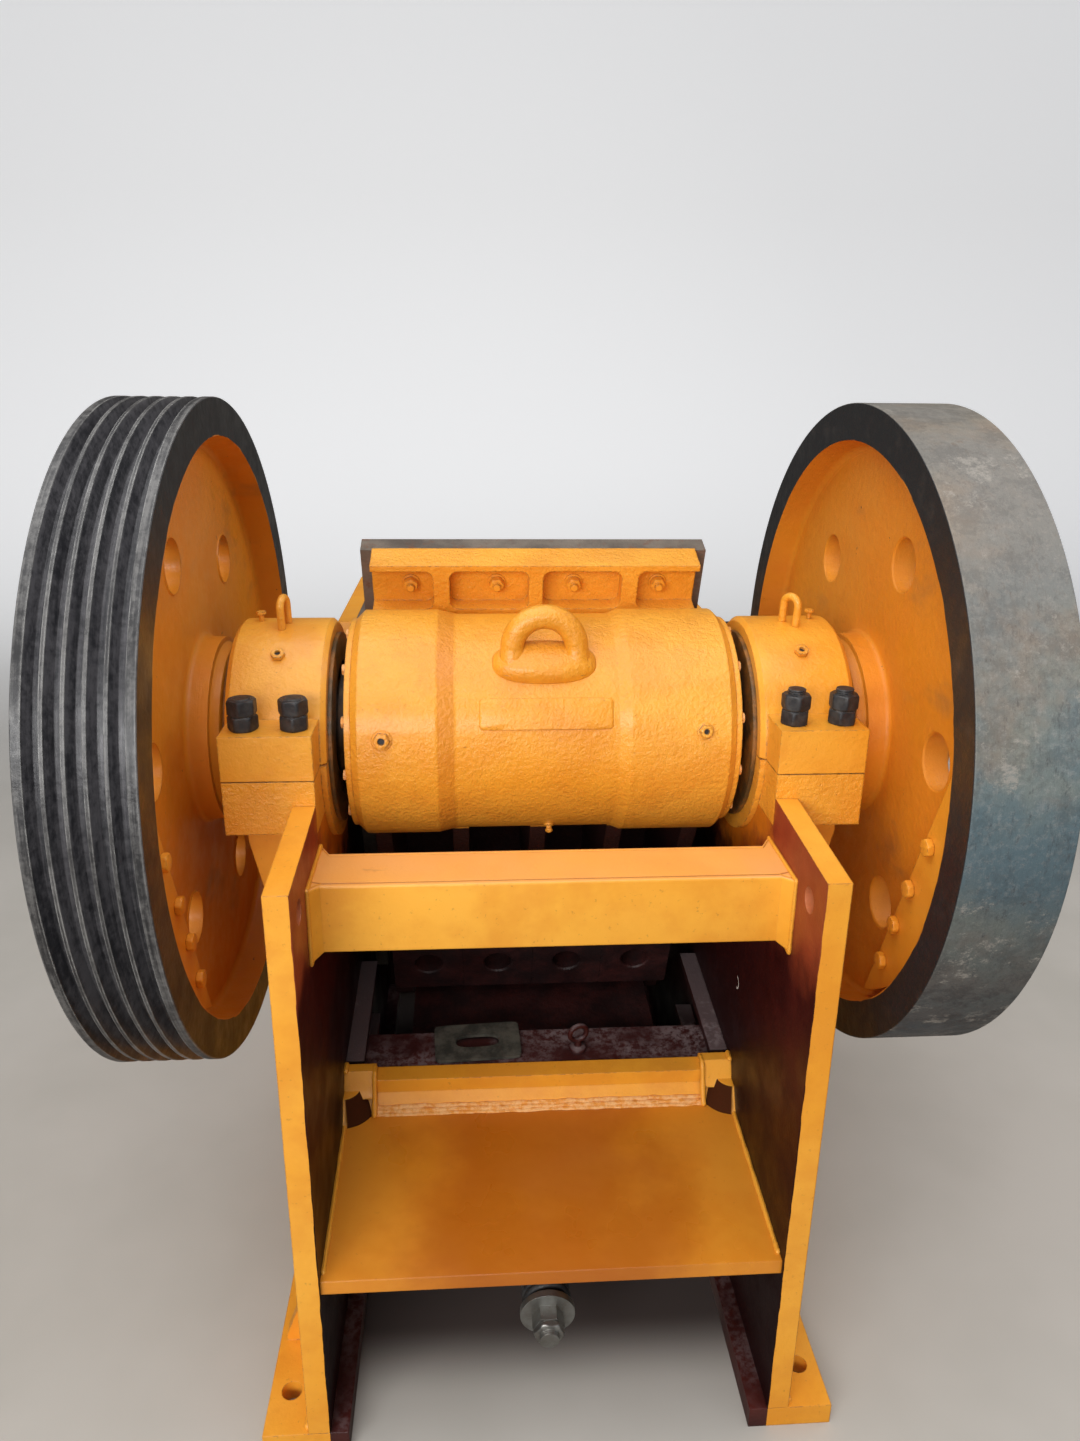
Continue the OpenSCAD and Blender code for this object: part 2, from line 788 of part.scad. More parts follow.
// Toggle plate with a round nose along each end
module toggle_plate() {
  color(maroon) at_toggle() union() {
    bar_x(nose_r, -toggle_w / 2, toggle_w / 2);
    translate([0, toggle_l, 0]) bar_x(nose_r, -toggle_w / 2, toggle_w / 2);
    box([-toggle_w / 2, 0, -toggle_t / 2], [toggle_w / 2, toggle_l, toggle_t / 2]);
  }
}

// Draws its children at the middle of the tension rod's front eye, in toggle directions
module at_eye() {
  at_toggle() translate([0, eye_y, -rod_drop]) children();
}

// Moves its children by the throw of the eccentric at rest, in toggle directions
module by_throw() {
  translate([0, ecc * cos(ecc_dir - rise), ecc * sin(ecc_dir - rise)]) children();
}

// Bracket under the toggle beam that the return spring pushes against
module rod_bracket() {
  half = rod_bracket_w;
  color(orange) at_toggle() difference() {
    box([-half, beam_back, -rod_drop - half], [half, beam_back + rod_bracket_t, -beam_low]);
    translate([0, -far, -rod_drop]) rotate([-90, 0, 0]) cylinder(r = rod_r + cheek_gap, h = 2 * far);
  }
}

// Rod with its front eye round the jaw's pin, and its rear washer and nut
module tension_rod() {
  eye_in = pin_r + ecc + moving_gap;
  rod_end = eye_y - eye_in - eye_wall / 2;
  color(steel) union() {
    at_toggle() translate([0, beam_back - spring_l, -rod_drop]) rotate([-90, 0, 0]) {
      translate([0, 0, -rod_over]) cylinder(r = rod_r, h = rod_end - beam_back + spring_l + rod_over);
      translate([0, 0, -washer_t]) cylinder(r = washer_r, h = washer_t);
      translate([0, 0, -washer_t - rod_nut_h]) cylinder(r = rod_nut_r, h = rod_nut_h, $fn = 6);
    }
    at_eye() difference() {
      bar_x(eye_in + eye_wall, -eye_w / 2, eye_w / 2);
      bar_x(eye_in, -far, far);
    }
  }
}

// Return spring between the bracket and the washer, as a stack of close turns
module tension_spring() {
  pitch = spring_l / turns;
  color(black) at_toggle() translate([0, beam_back - pitch / 2, -rod_drop])
    for (i = [0:turns - 1]) translate([0, -i * pitch, 0]) rotate([90, 0, 0])
      rotate_extrude($fn = 48) translate([spring_r, 0]) circle(r = pitch / 2, $fn = 24);
}

// Jaw plates

module fixed_jaw_plate() {
  color(steel) at_shaft() translate([0, wall_y, plate_bottom])
    corrugated(inner_w - 2 * cheek_t - 2 * cheek_gap, front_top + plate_over - plate_bottom, teeth, false);
}

// The teeth end below a plain band at the top of the swing plate
module swing_jaw_plate() {
  l = plate_low + head_top - plate_under;
  color(steel) at_jaw() translate([0, face, -plate_low]) union() {
    mirror([0, 1, 0]) corrugated(plate_w, l - plain_band, teeth, true);
    box([-plate_w / 2, 0, 0], [plate_w / 2, plate_t - tooth_h, l]);
  }
}

// Wave of count teeth along X: flat crests, flat valleys and straight flanks, extruded up
module corrugated(w, l, count, shifted) {
  pitch = w / (count + (shifted ? 0.5 : 0));
  low = -plate_t + tooth_h;
  flat = pitch * crest_share;
  start = -w / 2 + (shifted ? pitch / 4 : 0);
  crest = [for (i = [0:count - 1]) start + (i + 0.5) * pitch];
  tooth = [[-pitch / 2 + flat, low], [-flat, -plate_t], [flat, -plate_t], [pitch / 2 - flat, low]];
  linear_extrude(l) polygon(concat(
    [[w / 2, 0], [-w / 2, 0], [-w / 2, low]],
    [for (x = crest, p = tooth) [x + p[0], p[1]]],
    [[w / 2, low]]
  ));
}

// Cheek plate on the inner side of a side plate, beside both jaw plates
module cheek_plate() {
  top = front_top - seat_gap;
  color(steel) at_shaft() profile_x(half_in - cheek_t, half_in) difference() {
    polygon([
      [jaw_y(top) - cheek_back, top], [wall_y, top],
      [wall_y, cheek_low], [jaw_y(cheek_low) - cheek_back, cheek_low]
    ]);
    circle(r = barrel_r + ecc + moving_gap);
  }
}

module cheek_plate_right() {
  cheek_plate();
}

module cheek_plate_left() {
  mirror([1, 0, 0]) cheek_plate();
}

// Rotor

module eccentric_shaft() {
  main_x = housing_x - cover_t;
  color(steel) at_shaft() union() {
    for (s = [0, 1]) mirror([s, 0, 0]) {
      bar_x(journal_r, main_x - mate, wheel_x);
      bar_x(seat_r, wheel_x - mate, wheel_x + wheel_w + hub_out + shaft_end);
    }
    translate([0, ecc_y, ecc_z]) bar_x(ecc_r, -main_x, main_x);
  }
}

// Rim, web and hub shared by both wheels, as a revolved outline with radius along X
module wheel_body() {
  out_x = wheel_x + wheel_w;
  rim_in = wheel_r - rim_t;
  rotate([0, 90, 0]) rotate([0, 0, 180]) rotate_extrude() polygon([
    [seat_r + running, wheel_x], [hub_neck_r, wheel_x],
    [hub_neck_r + rim_draft, wheel_x + hub_step - rim_draft], [hub_r - hub_slope, wheel_x + hub_step],
    [hub_r, web_x - web_round], [hub_r + web_round, web_x], [rim_in - web_round, web_x],
    [rim_in, web_x - web_round], [rim_in + rim_draft, wheel_x], [wheel_r, wheel_x], [wheel_r, out_x],
    [rim_in + rim_draft, out_x], [rim_in, web_x + web_t + web_round],
    [rim_in - web_round, web_x + web_t], [hub_r, web_x + web_t],
    [hub_r - hub_slope, out_x + hub_out], [seat_r + running, out_x + hub_out]
  ]);
}

module web_holes() {
  for (i = [0:web_holes - 1]) rotate([web_phase + i * 360 / web_holes, 0, 0])
    translate([0, web_circle_r, 0]) bar_x(web_hole_r, wheel_x, wheel_x + wheel_w);
}

module flywheel() {
  color(orange) at_shaft() difference() {
    wheel_body();
    web_holes();
  }
}

// Belt wheel: the same casting with V grooves round its rim
module sheave_wheel() {
  mid = wheel_x + wheel_w / 2;
  color(orange) at_shaft() difference() {
    mirror([1, 0, 0]) wheel_body();
    mirror([1, 0, 0]) web_holes();
    rotate([0, -90, 0]) rotate_extrude() for (i = [0:grooves - 1])
      translate([0, mid + (i - (grooves - 1) / 2) * groove_pitch]) polygon([
        [wheel_r + mate, -groove_w / 2 - mate / 2], [wheel_r + mate, groove_w / 2 + mate / 2],
        [wheel_r - groove_d, groove_root_w / 2], [wheel_r - groove_d, -groove_root_w / 2]
      ]);
  }
}

// Segment opposite the eccentric on a web's inner side
module counterweight() {
  color(orange) at_shaft() difference() {
    rotate([ecc_dir, 0, 0]) difference() {
      bar_x(wheel_r - rim_t - weight_gap, web_x - weight_t, web_x);
      box([0, -weight_chord, -far], [far, far, far]);
    }
    web_holes();
  }
}

module counterweight_right() {
  counterweight();
}

module counterweight_left() {
  mirror([1, 0, 0]) counterweight();
}

// Locking ring and cover on each shaft end
module shaft_end_rings() {
  x0 = wheel_x + wheel_w + hub_out;
  color(steel) at_shaft() for (s = [0, 1]) mirror([s, 0, 0]) difference() {
    bar_x(seat_r + lock_w, x0, x0 + lock_t);
    bar_x(seat_r + running, 0, far);
  }
}

// Swing jaw

// Barrel outline revolved round X: thick ends, sloping shoulders and a slimmer middle
module barrel() {
  half = barrel_w / 2;
  rotate([0, 90, 0]) rotate_extrude() polygon([
    [0, -half], [barrel_r - barrel_edge, -half], [barrel_r, -half + barrel_edge],
    [barrel_r, -half + thick_left], [middle_r, -half + thick_left + slope_left],
    [middle_r, half - thick_right - slope_right], [barrel_r, half - thick_right],
    [barrel_r, half - barrel_edge], [barrel_r - barrel_edge, half], [0, half]
  ]);
}

// Pocket cutter with round corners in X and Z, cutting from the back of the head
module pocket(x0, x1) {
  r = pocket_r;
  translate([x0, face - head_t - mate, head_top - pocket_top - pocket_h])
    rotate([-90, 0, 0]) linear_extrude(pocket_d + mate) mirror([0, 1]) union() {
      translate([r, 0]) square([x1 - x0 - 2 * r, pocket_h]);
      translate([0, r]) square([x1 - x0, pocket_h - 2 * r]);
      for (x = [r, x1 - x0 - r], z = [r, pocket_h - r]) translate([x, z]) circle(r = r);
    }
}

module swing_jaw() {
  head_half = jaw_w / 2;
  rib_pitch = (jaw_w - jaw_rib_t) / 4;
  block_low = block_top + toggle_block_h;
  foot_low = plate_low - blunt / 2;
  color(orange) difference() {
    union() {
      at_jaw() {
        barrel();
        box([-head_half, face - head_t, -mate], [head_half, face, head_top]);
        box([-head_half, face - face_t, -foot_low], [head_half, face, 0]);
        for (i = [0:4]) translate([-head_half + i * rib_pitch, 0, 0]) profile_x(0, jaw_rib_t)
          polygon([
            [face - mate, 0], [-barrel_r / 2, -barrel_r * 3 / 4], [block_back, -block_top],
            [block_back, -block_low], [face - face_t - blunt, -foot_low + jaw_rib_t],
            [face - face_t + mate, -foot_low], [face - mate, -foot_low]
          ]);
        box([-head_half, block_back, -block_low], [head_half, face - mate, -block_top]);
      }
      at_eye() by_throw() for (s = [0, 1]) mirror([s, 0, 0]) {
        bar_x(lug_boss_r, lug_in, lug_in + lug_t);
        translate([lug_in, -lug_boss_r, 0]) cube([lug_t, 2 * lug_boss_r, rod_drop - lug_t]);
      }
      at_shaft() translate([0, -lug_y, ecc_z + lug_z]) {
        rotate([90, 0, 0]) rotate_extrude(angle = 180) translate([lug_r, 0]) circle(r = lug_bar_r);
        for (s = [-1, 1]) translate([s * lug_r, 0, -lug_leg])
          cylinder(r1 = lug_foot_r, r2 = lug_bar_r, h = lug_leg);
        box([-lug_r, -lug_bar_r, -lug_leg], [lug_r, lug_bar_r, -lug_leg + lug_web]);
      }
    }
    at_jaw() {
      bar_x(ecc_r + running, -far, far);
      for (s = [0, 1]) mirror([s, 0, 0]) {
        pocket(pocket_rib / 2, pocket_x - jaw_rib_t / 2);
        pocket(pocket_x + jaw_rib_t / 2, head_half + 2 * pocket_r);
      }
      jaw_bolt_holes();
    }
    jaw_seat_cut();
    at_eye() by_throw() bar_x(pin_r + running, -far, far);
  }
}

// Pin through the jaw's rear lugs, inside the eye of the tension rod
module rod_pin() {
  end = lug_in + lug_t;
  color(steel) at_eye() by_throw() {
    bar_x(pin_r, -end - pin_head_t, end);
    bar_x(pin_r + pin_head, end, end + pin_head_t);
  }
}

// Place of the four bolts in the head
module at_jaw_bolts() {
  bolt_z = head_top - pocket_top - pocket_h / 2;
  for (x = [-bolt_far, -bolt_in, bolt_in, bolt_far])
    translate([x, face - head_t + pocket_d, bolt_z]) rotate([-90, 0, 0]) children();
}

module jaw_bolt_holes() {
  at_jaw_bolts() translate([0, 0, -mate]) cylinder(r = plate_bolt_r + mate, h = head_t);
}

// Bolt ends with nuts in the head's pockets
module jaw_bolts() {
  color(orange) at_jaw() at_jaw_bolts() {
    translate([0, 0, -plate_nut_h]) cylinder(r = plate_nut_r, h = plate_nut_h, $fn = 6);
    translate([0, 0, -2 * plate_nut_h]) cylinder(r = plate_bolt_r, h = 2 * plate_nut_h + head_t - pocket_d);
  }
}

module jaw_seat_cut() {
  at_toggle() translate([0, toggle_l, 0]) by_throw()
    box([-seat_half - seat_gap, -far, -block_h], [seat_half + seat_gap, seat_d, block_h]);
}

// Hardened seat in the jaw for the front nose of the toggle, with a groove wide enough for the
// whole orbit of the eccentric
module jaw_toggle_seat() {
  color(steel) at_toggle() translate([0, toggle_l, 0]) by_throw() difference() {
    box([-seat_half, -nose_r / 6, -block_h + seat_gap], [seat_half, seat_d, block_h - seat_gap]);
    bar_x(nose_r + ecc + moving_gap, -far, far);
  }
}

// Cover ring on each end of the barrel
module barrel_ring() {
  color(orange) at_shaft() translate([0, ecc_y, ecc_z]) difference() {
    bar_x(ring_r, barrel_w / 2, barrel_w / 2 + ring_t);
    bar_x(ecc_r + running, 0, far);
  }
}

module barrel_ring_right() {
  barrel_ring();
}

module barrel_ring_left() {
  mirror([1, 0, 0]) barrel_ring();
}

// Wedge bar that clamps the foot of the swing plate to the casting
module jaw_wedge() {
  color(maroon) at_jaw() {
    box([-jaw_w / 2, face - face_t - blunt, -plate_low - wedge_h], [jaw_w / 2, face + wedge_h, -plate_low]);
  }
}

side_plate_left();
side_plate_right();
front_wall();
front_ribs();
rear_top_beam();
toggle_beam();
rear_shelf();
foot_left();
foot_right();
bearing_bracket_left();
bearing_bracket_right();
bearing_base_left();
bearing_base_right();
bearing_cap_left();
bearing_cap_right();
cap_bolts_left();
cap_bolts_right();
cap_fittings();
bearing_cover_left();
bearing_cover_right();
fixed_jaw_plate();
cheek_plate_left();
cheek_plate_right();
guide_rail_left();
guide_rail_right();
adjusting_block();
rear_toggle_seat();
toggle_plate();
rod_bracket();
tension_rod();
tension_spring();
eccentric_shaft();
sheave_wheel();
flywheel();
counterweight_left();
counterweight_right();
shaft_end_rings();
swing_jaw();
swing_jaw_plate();
barrel_ring_left();
barrel_ring_right();
jaw_toggle_seat();
jaw_bolts();
jaw_wedge();
rod_pin();
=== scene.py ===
"""Jaw crusher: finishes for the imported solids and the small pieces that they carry, in metres."""
import json
import math
from functools import partialmethod

import bmesh
import bpy
import numpy as np
from mathutils import Matrix, Vector


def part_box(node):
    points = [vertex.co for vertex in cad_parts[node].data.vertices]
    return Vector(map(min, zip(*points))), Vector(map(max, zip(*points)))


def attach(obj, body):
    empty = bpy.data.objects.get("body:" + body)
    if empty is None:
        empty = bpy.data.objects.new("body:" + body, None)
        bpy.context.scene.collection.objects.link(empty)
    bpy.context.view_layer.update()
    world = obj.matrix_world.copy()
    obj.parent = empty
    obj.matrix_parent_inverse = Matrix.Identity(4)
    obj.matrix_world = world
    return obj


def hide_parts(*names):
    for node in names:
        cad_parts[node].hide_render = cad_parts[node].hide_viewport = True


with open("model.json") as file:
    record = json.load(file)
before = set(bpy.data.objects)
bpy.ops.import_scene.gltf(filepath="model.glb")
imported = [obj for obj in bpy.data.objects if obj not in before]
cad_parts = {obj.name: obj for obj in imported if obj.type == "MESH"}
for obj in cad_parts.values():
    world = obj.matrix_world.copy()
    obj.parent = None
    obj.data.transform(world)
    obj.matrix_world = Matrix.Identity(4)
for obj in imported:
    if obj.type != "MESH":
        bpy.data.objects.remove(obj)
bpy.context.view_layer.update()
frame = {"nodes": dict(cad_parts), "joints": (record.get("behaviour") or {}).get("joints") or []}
nodes = frame["nodes"]
rng = np.random.default_rng(11)

# Places that the pieces share, from the frame
shaft = np.array(frame["joints"][0]["pos_m"])
eccentric = np.array(frame["joints"][1]["pos_m"])
wall_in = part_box("side_plate_right")[0][0]
wall_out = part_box("side_plate_right")[1][0]
wall_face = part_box("front_wall")[1][1]
MM = 0.001
rim_out = (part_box("flywheel")[1][2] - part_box("flywheel")[0][2]) / 2
rim_in = rim_out - 65 * MM
barrel_r = 200 * MM
barrel_skin = 192 * MM  # ground level of the pads and of the lug's root on the barrel


def add_object(name, data):
    made = bpy.data.objects.new(name, data)
    bpy.context.scene.collection.objects.link(made)
    return made


def new_mesh(name, points, quads):
    mesh = bpy.data.meshes.new(name)
    mesh.from_pydata(points.tolist(), [], quads.tolist())
    return mesh


# Camera at the photograph's viewing angle

def add_camera():
    """Camera turned, dipped and rolled by the angles fitted to the photo; its focal length in pixels goes with a
    picture 1441 pixels high."""
    yaw, pitch, roll = (math.radians(a) for a in (3.947, 18.995, 0.659))
    forward = Vector((math.sin(yaw) * math.cos(pitch), math.cos(yaw) * math.cos(pitch), -math.sin(pitch)))
    level = Vector((math.cos(yaw), -math.sin(yaw), 0))
    upright = level.cross(forward)
    right = math.cos(roll) * level + math.sin(roll) * upright
    up = -math.sin(roll) * level + math.cos(roll) * upright
    data = bpy.data.cameras.new("view")
    data.sensor_width = 36
    data.lens = data.sensor_width * 1015.09 / 1441
    camera = add_object("view", data)
    camera.matrix_world = Matrix((right, up, -forward)).transposed().to_4x4()
    camera.location = (-0.1174, -1.893, 1.6942)
    bpy.context.scene.camera = camera


# Materials

class Finish:
    """One material, built up by steps: each step adds a node and gives back its output."""

    def __init__(self, name):
        self.material = bpy.data.materials.new(name)
        self.material.use_nodes = True
        self.tree = self.material.node_tree
        self.shader = self.tree.nodes["Principled BSDF"]
        self.place = self.node("TexCoord").outputs["Object"]

    def put(self, socket, value):
        if isinstance(value, bpy.types.NodeSocket):
            self.tree.links.new(value, socket)
        else:
            socket.default_value = (*value, 1) if isinstance(value, tuple) and socket.type == "RGBA" else value

    def node(self, kind, inputs=(), **settings):
        made = self.tree.nodes.new("ShaderNode" + kind)
        for key, value in settings.items():
            setattr(made, key, value)
        for key, value in dict(inputs).items():
            self.put(made.inputs[key], value)
        return made

    def reckon(self, operation, a, b=0.0, clamp=False):
        return self.node("Math", {0: a, 1: b}, operation=operation, use_clamp=clamp).outputs[0]

    times = partialmethod(reckon, "MULTIPLY")
    plus = partialmethod(reckon, "ADD")
    minus = partialmethod(reckon, "SUBTRACT")
    over = partialmethod(reckon, "GREATER_THAN")
    under = partialmethod(reckon, "LESS_THAN")
    most = partialmethod(reckon, "MAXIMUM")
    size = partialmethod(reckon, "ABSOLUTE")

    def vector(self, operation, a, b=(0, 0, 0)):
        return self.node("VectorMath", {0: a, 1: b}, operation=operation).outputs

    def noise(self, scale, detail, roughness, stretch=(1, 1, 1)):
        place = self.vector("MULTIPLY", self.place, stretch)[0]
        values = {"Vector": place, "Scale": scale, "Detail": detail, "Roughness": roughness}
        return self.node("TexNoise", values).outputs[0]

    def step(self, value, low, high, start=0.0, end=1.0):
        """Value between low and high, smoothly carried to start and end."""
        values = {0: value, 1: low, 2: high, 3: start, 4: end}
        return self.node("MapRange", values, interpolation_type="SMOOTHSTEP").outputs[0]

    def blots(self, noise, low, high, start=0.0, end=1.0):
        """Patches: start where the noise is under low, end where it is over high."""
        return self.step(self.noise(*noise), low, high, start, end)

    def vary(self, scale, start, end, detail=3, roughness=0.5):
        """Value that wanders slowly between start and end."""
        return self.blots((scale, detail, roughness), 0.3, 0.7, start, end)

    def mix(self, share, a, b):
        """Colour a where share is 0 and colour b where it is 1."""
        made = self.node("Mix", {"Factor": share}, data_type="RGBA")
        self.put(made.inputs[6], a)
        self.put(made.inputs[7], b)
        return made.outputs[2]

    def layers(self, colour, *coats):
        """Colour with coats laid over it, each given by its share and its own colour."""
        for share, coat in coats:
            colour = self.mix(share, colour, coat)
        return colour

    def axis(self, which):
        return self.node("SeparateXYZ", {0: self.place}).outputs[which]

    def facing(self, which):
        """Part of the surface's own normal along an axis."""
        normal = self.node("NewGeometry").outputs["Normal"]
        return self.node("SeparateXYZ", {0: normal}).outputs[which]

    def radius(self, centre):
        """Distance from a line along X through centre."""
        moved = self.vector("SUBTRACT", self.place, Vector(centre))[0]
        return self.vector("LENGTH", self.vector("MULTIPLY", moved, (0, 1, 1))[0])["Value"]

    def rounded(self, width):
        """Normal of the surface as if its edges were rounded."""
        return self.node("Bevel", {"Radius": width}, samples=4).outputs[0]

    def edge(self, width):
        """1 on edges rounder than width, 0 on flat ground: how far a rounded normal leaves the true one."""
        true = self.node("NewGeometry").outputs["Normal"]
        return self.minus(1, self.vector("DOT_PRODUCT", self.rounded(width), true)["Value"], True)

    def corner(self, reach):
        """1 deep in corners, 0 on open ground."""
        open_ground = self.node("AmbientOcclusion", {"Distance": reach}, samples=6).outputs["AO"]
        return self.minus(1, open_ground, True)

    def bump(self, height, depth, below=None):
        """Normal of the ground raised by height times depth, over the normal below."""
        values = {"Height": height, "Distance": depth}
        if below is not None:
            values["Normal"] = below
        return self.node("Bump", values).outputs[0]

    def skin(self, noise, depth, soft=0.003):
        """Normal of noisy ground, depth high, with edges rounded by soft."""
        return self.bump(self.noise(*noise), depth, self.rounded(soft))

    def finish(self, colour, rough, normal=None, shine=0.5, coat=(0.0, 0.03), metal=0.0):
        """Last step; coat gives weight and roughness of a clear coat, shine the strength of mirror light."""
        values = {"Base Color": colour, "Roughness": rough, "Metallic": metal, "Specular IOR Level": shine,
                  "Coat Weight": coat[0], "Coat Roughness": coat[1]}
        if normal is not None:
            values["Normal"] = normal
        for key, value in values.items():
            self.put(self.shader.inputs[key], value)
        return self.material


ORANGE = (0.83, 0.335, 0.022)
PALE_ORANGE = (0.9, 0.42, 0.045)
DEEP_ORANGE = (0.66, 0.2, 0.01)
BROWN = (0.12, 0.036, 0.012)
MAROON = (0.04, 0.006, 0.005)
RED = (0.105, 0.014, 0.009)
DUST = (0.2, 0.155, 0.155)
BLACK = (0.013, 0.014, 0.016)
STEEL = (0.36, 0.36, 0.34)
SHADE = (0.01, 0.005, 0.005)
WORN_CAST = (0.2, 0.11, 0.06)
WORN_PLATE = (0.16, 0.07, 0.045)
WORN_PRIMER = (0.09, 0.065, 0.06)

GLOSSY = {"shine": 0.45, "coat": (0.22, 0.2)}
SATIN = {"shine": 0.4, "coat": (0.08, 0.18)}
DULL = {"shine": 0.4, "coat": (0.05, 0.2)}
PLATE_GRAIN = (170, 4, 0.6)
TURNING = (1.0, 3, 0.6, (900, 6, 6))


def paint_colour(f, grimy=0.55):
    """Orange enamel: broad patches of thicker and thinner paint, dust specks, a little dirt in corners."""
    grime = f.times(f.step(f.corner(0.03), 0.35, 0.9), f.blots((30, 4, 0.6), 0.35, 0.65, 0.1, grimy))
    return f.layers(
        ORANGE, (f.blots((2.3, 3, 0.55), 0.35, 0.65), PALE_ORANGE),
        (f.times(f.blots((9.0, 4, 0.6), 0.38, 0.68), 0.4), DEEP_ORANGE),
        (f.times(f.blots((120, 4, 0.7), 0.63, 0.7), 0.35), (0.3, 0.11, 0.02)), (grime, BROWN))


def chips(f, width, much):
    """Where paint has come off: edges, broken up by two sizes of noise."""
    broken = f.times(f.noise(38, 5, 0.65), f.noise(160, 3, 0.6))
    near = f.step(f.edge(width), 0.02, 0.25)
    return f.step(f.times(near, broken), 0.3 - much, 0.34 - much)


def thin_edges(f, much):
    """Where plate paint has drawn back thin from the edges."""
    return f.step(f.edge(0.004), 0.03, 0.3, 0, much)


def cast_skin(f, depth=1.0):
    """Skin of a sand casting: slow lumps, pitted ground and fine orange peel, with softened edges."""
    lumps = f.bump(f.noise(118, 4, 0.58), 0.003 * depth, f.skin((14, 3, 0.5), 0.0034 * depth, 0.004))
    return f.bump(f.noise(300, 3, 0.6), 0.0009 * depth, lumps)


def cast_paint(name="cast_enamel", depth=1.0, seam=False):
    """Enamel over a sand casting, glossy; a seam is the dark joint line between base and cap."""
    f = Finish(name)
    colour = f.layers(paint_colour(f), (chips(f, 0.004, 0.06), WORN_CAST))
    skin = cast_skin(f, depth)
    if seam:
        off = f.size(f.minus(f.axis(2), float(shaft[2])))
        line = f.step(f.plus(off, f.vary(60, -0.0004, 0.0004, 3, 0.6)), 0.0002, 0.0012, 1, 0)
        colour = f.mix(line, colour, (0.4, 0.15, 0.02))
        skin = f.bump(f.minus(1, line), 0.0012, skin)
    return f.finish(colour, f.vary(14, 0.28, 0.42), skin, **GLOSSY)


def plate_paint():
    """Enamel over rolled plate: even skin with slow waves and brush marks, thin on the edges."""
    f = Finish("plate_enamel")
    colour = f.layers(paint_colour(f), (thin_edges(f, 0.5), DEEP_ORANGE), (chips(f, 0.003, 0.07), WORN_PLATE))
    skin = f.bump(f.noise(*PLATE_GRAIN), 0.00055, f.skin((7, 2, 0.4), 0.004))
    return f.finish(colour, f.vary(11, 0.32, 0.5), skin, **SATIN)


def beam_paint():
    """Top beam: enamel, settled paler and pinker on its upper face, where hands and rags have dulled it, with a
    seam along that face."""
    f = Finish("beam_enamel")
    top = f.times(f.step(f.facing(2), 0.6, 0.9), f.vary(5, 0.55, 0.95, 4, 0.6))
    rub = f.times(f.blots((17, 5, 0.65, (1, 2, 2)), 0.6, 0.7), f.step(f.axis(0), -0.3, -0.2, 0.5, 0))
    seam = f.size(f.minus(f.axis(1), float(shaft[1]) - 0.369))
    seam = f.times(f.step(seam, 0.001, 0.0024, 0.8, 0), f.step(f.facing(2), 0.3, 0.5))
    colour = f.layers(
        paint_colour(f), (thin_edges(f, 0.4), DEEP_ORANGE), (top, (0.84, 0.385, 0.115)),
        (f.times(rub, top), (0.3, 0.12, 0.06)), (seam, (0.36, 0.1, 0.015)))
    return f.finish(colour, f.vary(11, 0.32, 0.48), f.skin(PLATE_GRAIN, 0.00045), **SATIN)


def ear_paint():
    """Toggle beam: enamel, with painted shade, dark and matt, in the hollow under each ear."""
    f = Finish("toggle_beam_enamel")
    # painted shade: the hollow under each ear is coloured dark and made matt
    turn = f.size(f.facing(0))
    hollow = f.times(f.step(turn, 0.06, 0.14), f.step(turn, 0.9, 0.98, 1, 0))
    hollow = f.times(hollow, f.over(f.size(f.axis(0)), 0.312))
    colour = f.layers(paint_colour(f), (chips(f, 0.003, 0.07), WORN_PLATE), (hollow, (0.055, 0.016, 0.006)))
    rough = f.most(f.vary(11, 0.32, 0.5), f.times(hollow, 0.95))
    return f.finish(colour, rough, f.skin(PLATE_GRAIN, 0.00055), shine=f.minus(0.45, f.times(hollow, 0.43)))


def dark_block_paint():
    """Rear block of the jaw: primer that hardly sees light, painted near black as shade, blacker in its hollows."""
    f = Finish("oily_primer")
    # painted shade: near black primer, blacker still in the hollows
    colour = f.layers(
        (0.014, 0.005, 0.005), (f.blots((14, 5, 0.65), 0.38, 0.66), (0.04, 0.01, 0.009)),
        (f.step(f.corner(0.03), 0.25, 0.7), (0.004, 0.003, 0.003)), (chips(f, 0.003, 0.06), WORN_PRIMER))
    return f.finish(colour, f.vary(10, 0.4, 0.6), f.skin((80, 5, 0.6), 0.002), shine=0.35)


def shaft_steel():
    """Shaft: turned steel, under dark brown grease wherever it shows between jaw and bearings."""
    f = Finish("greased_shaft")
    between = f.under(f.size(f.axis(0)), 0.375)
    steel = f.mix(f.blots((1, 4, 0.6, (240, 6, 6)), 0.38, 0.64), (0.2, 0.195, 0.185), (0.34, 0.33, 0.31))
    grease = f.mix(f.blots((30, 5, 0.65), 0.4, 0.65), (0.03, 0.016, 0.008), (0.085, 0.042, 0.016))
    return f.finish(f.mix(between, steel, grease), f.vary(20, 0.34, 0.55, 4, 0.6), f.skin(TURNING, 0.0003, 0.002),
                    metal=0.3)


def primer_colour(f, dusty=0.8, spread=0.0):
    """Maroon primer: red where it lies thick, painted shade that goes nearly black in corners, purple grey dust on
    upward faces, in clumps over an even film of the spread."""
    clumps = f.times(f.blots((7, 4, 0.6), 0.38, 0.62), f.blots((70, 5, 0.75), 0.4, 0.6))
    settled = f.times(f.step(f.facing(2), 0.45, 0.95), f.most(clumps, spread))
    # painted shade: the primer darkens to SHADE in its corners
    return f.layers(
        MAROON, (f.blots((3.5, 4, 0.6), 0.4, 0.72), RED), (f.times(f.step(f.corner(0.16), 0.2, 0.8), 0.85), SHADE),
        (f.times(settled, dusty), DUST))


def primer(name="maroon_primer", dusty=0.8, spread=0.0):
    """Maroon primer with worn edges."""
    f = Finish(name)
    colour = f.layers(primer_colour(f, dusty, spread), (chips(f, 0.004, 0.05), WORN_PRIMER))
    return f.finish(colour, f.vary(10, 0.45, 0.68), f.skin((90, 5, 0.6), 0.0014), shine=0.35)


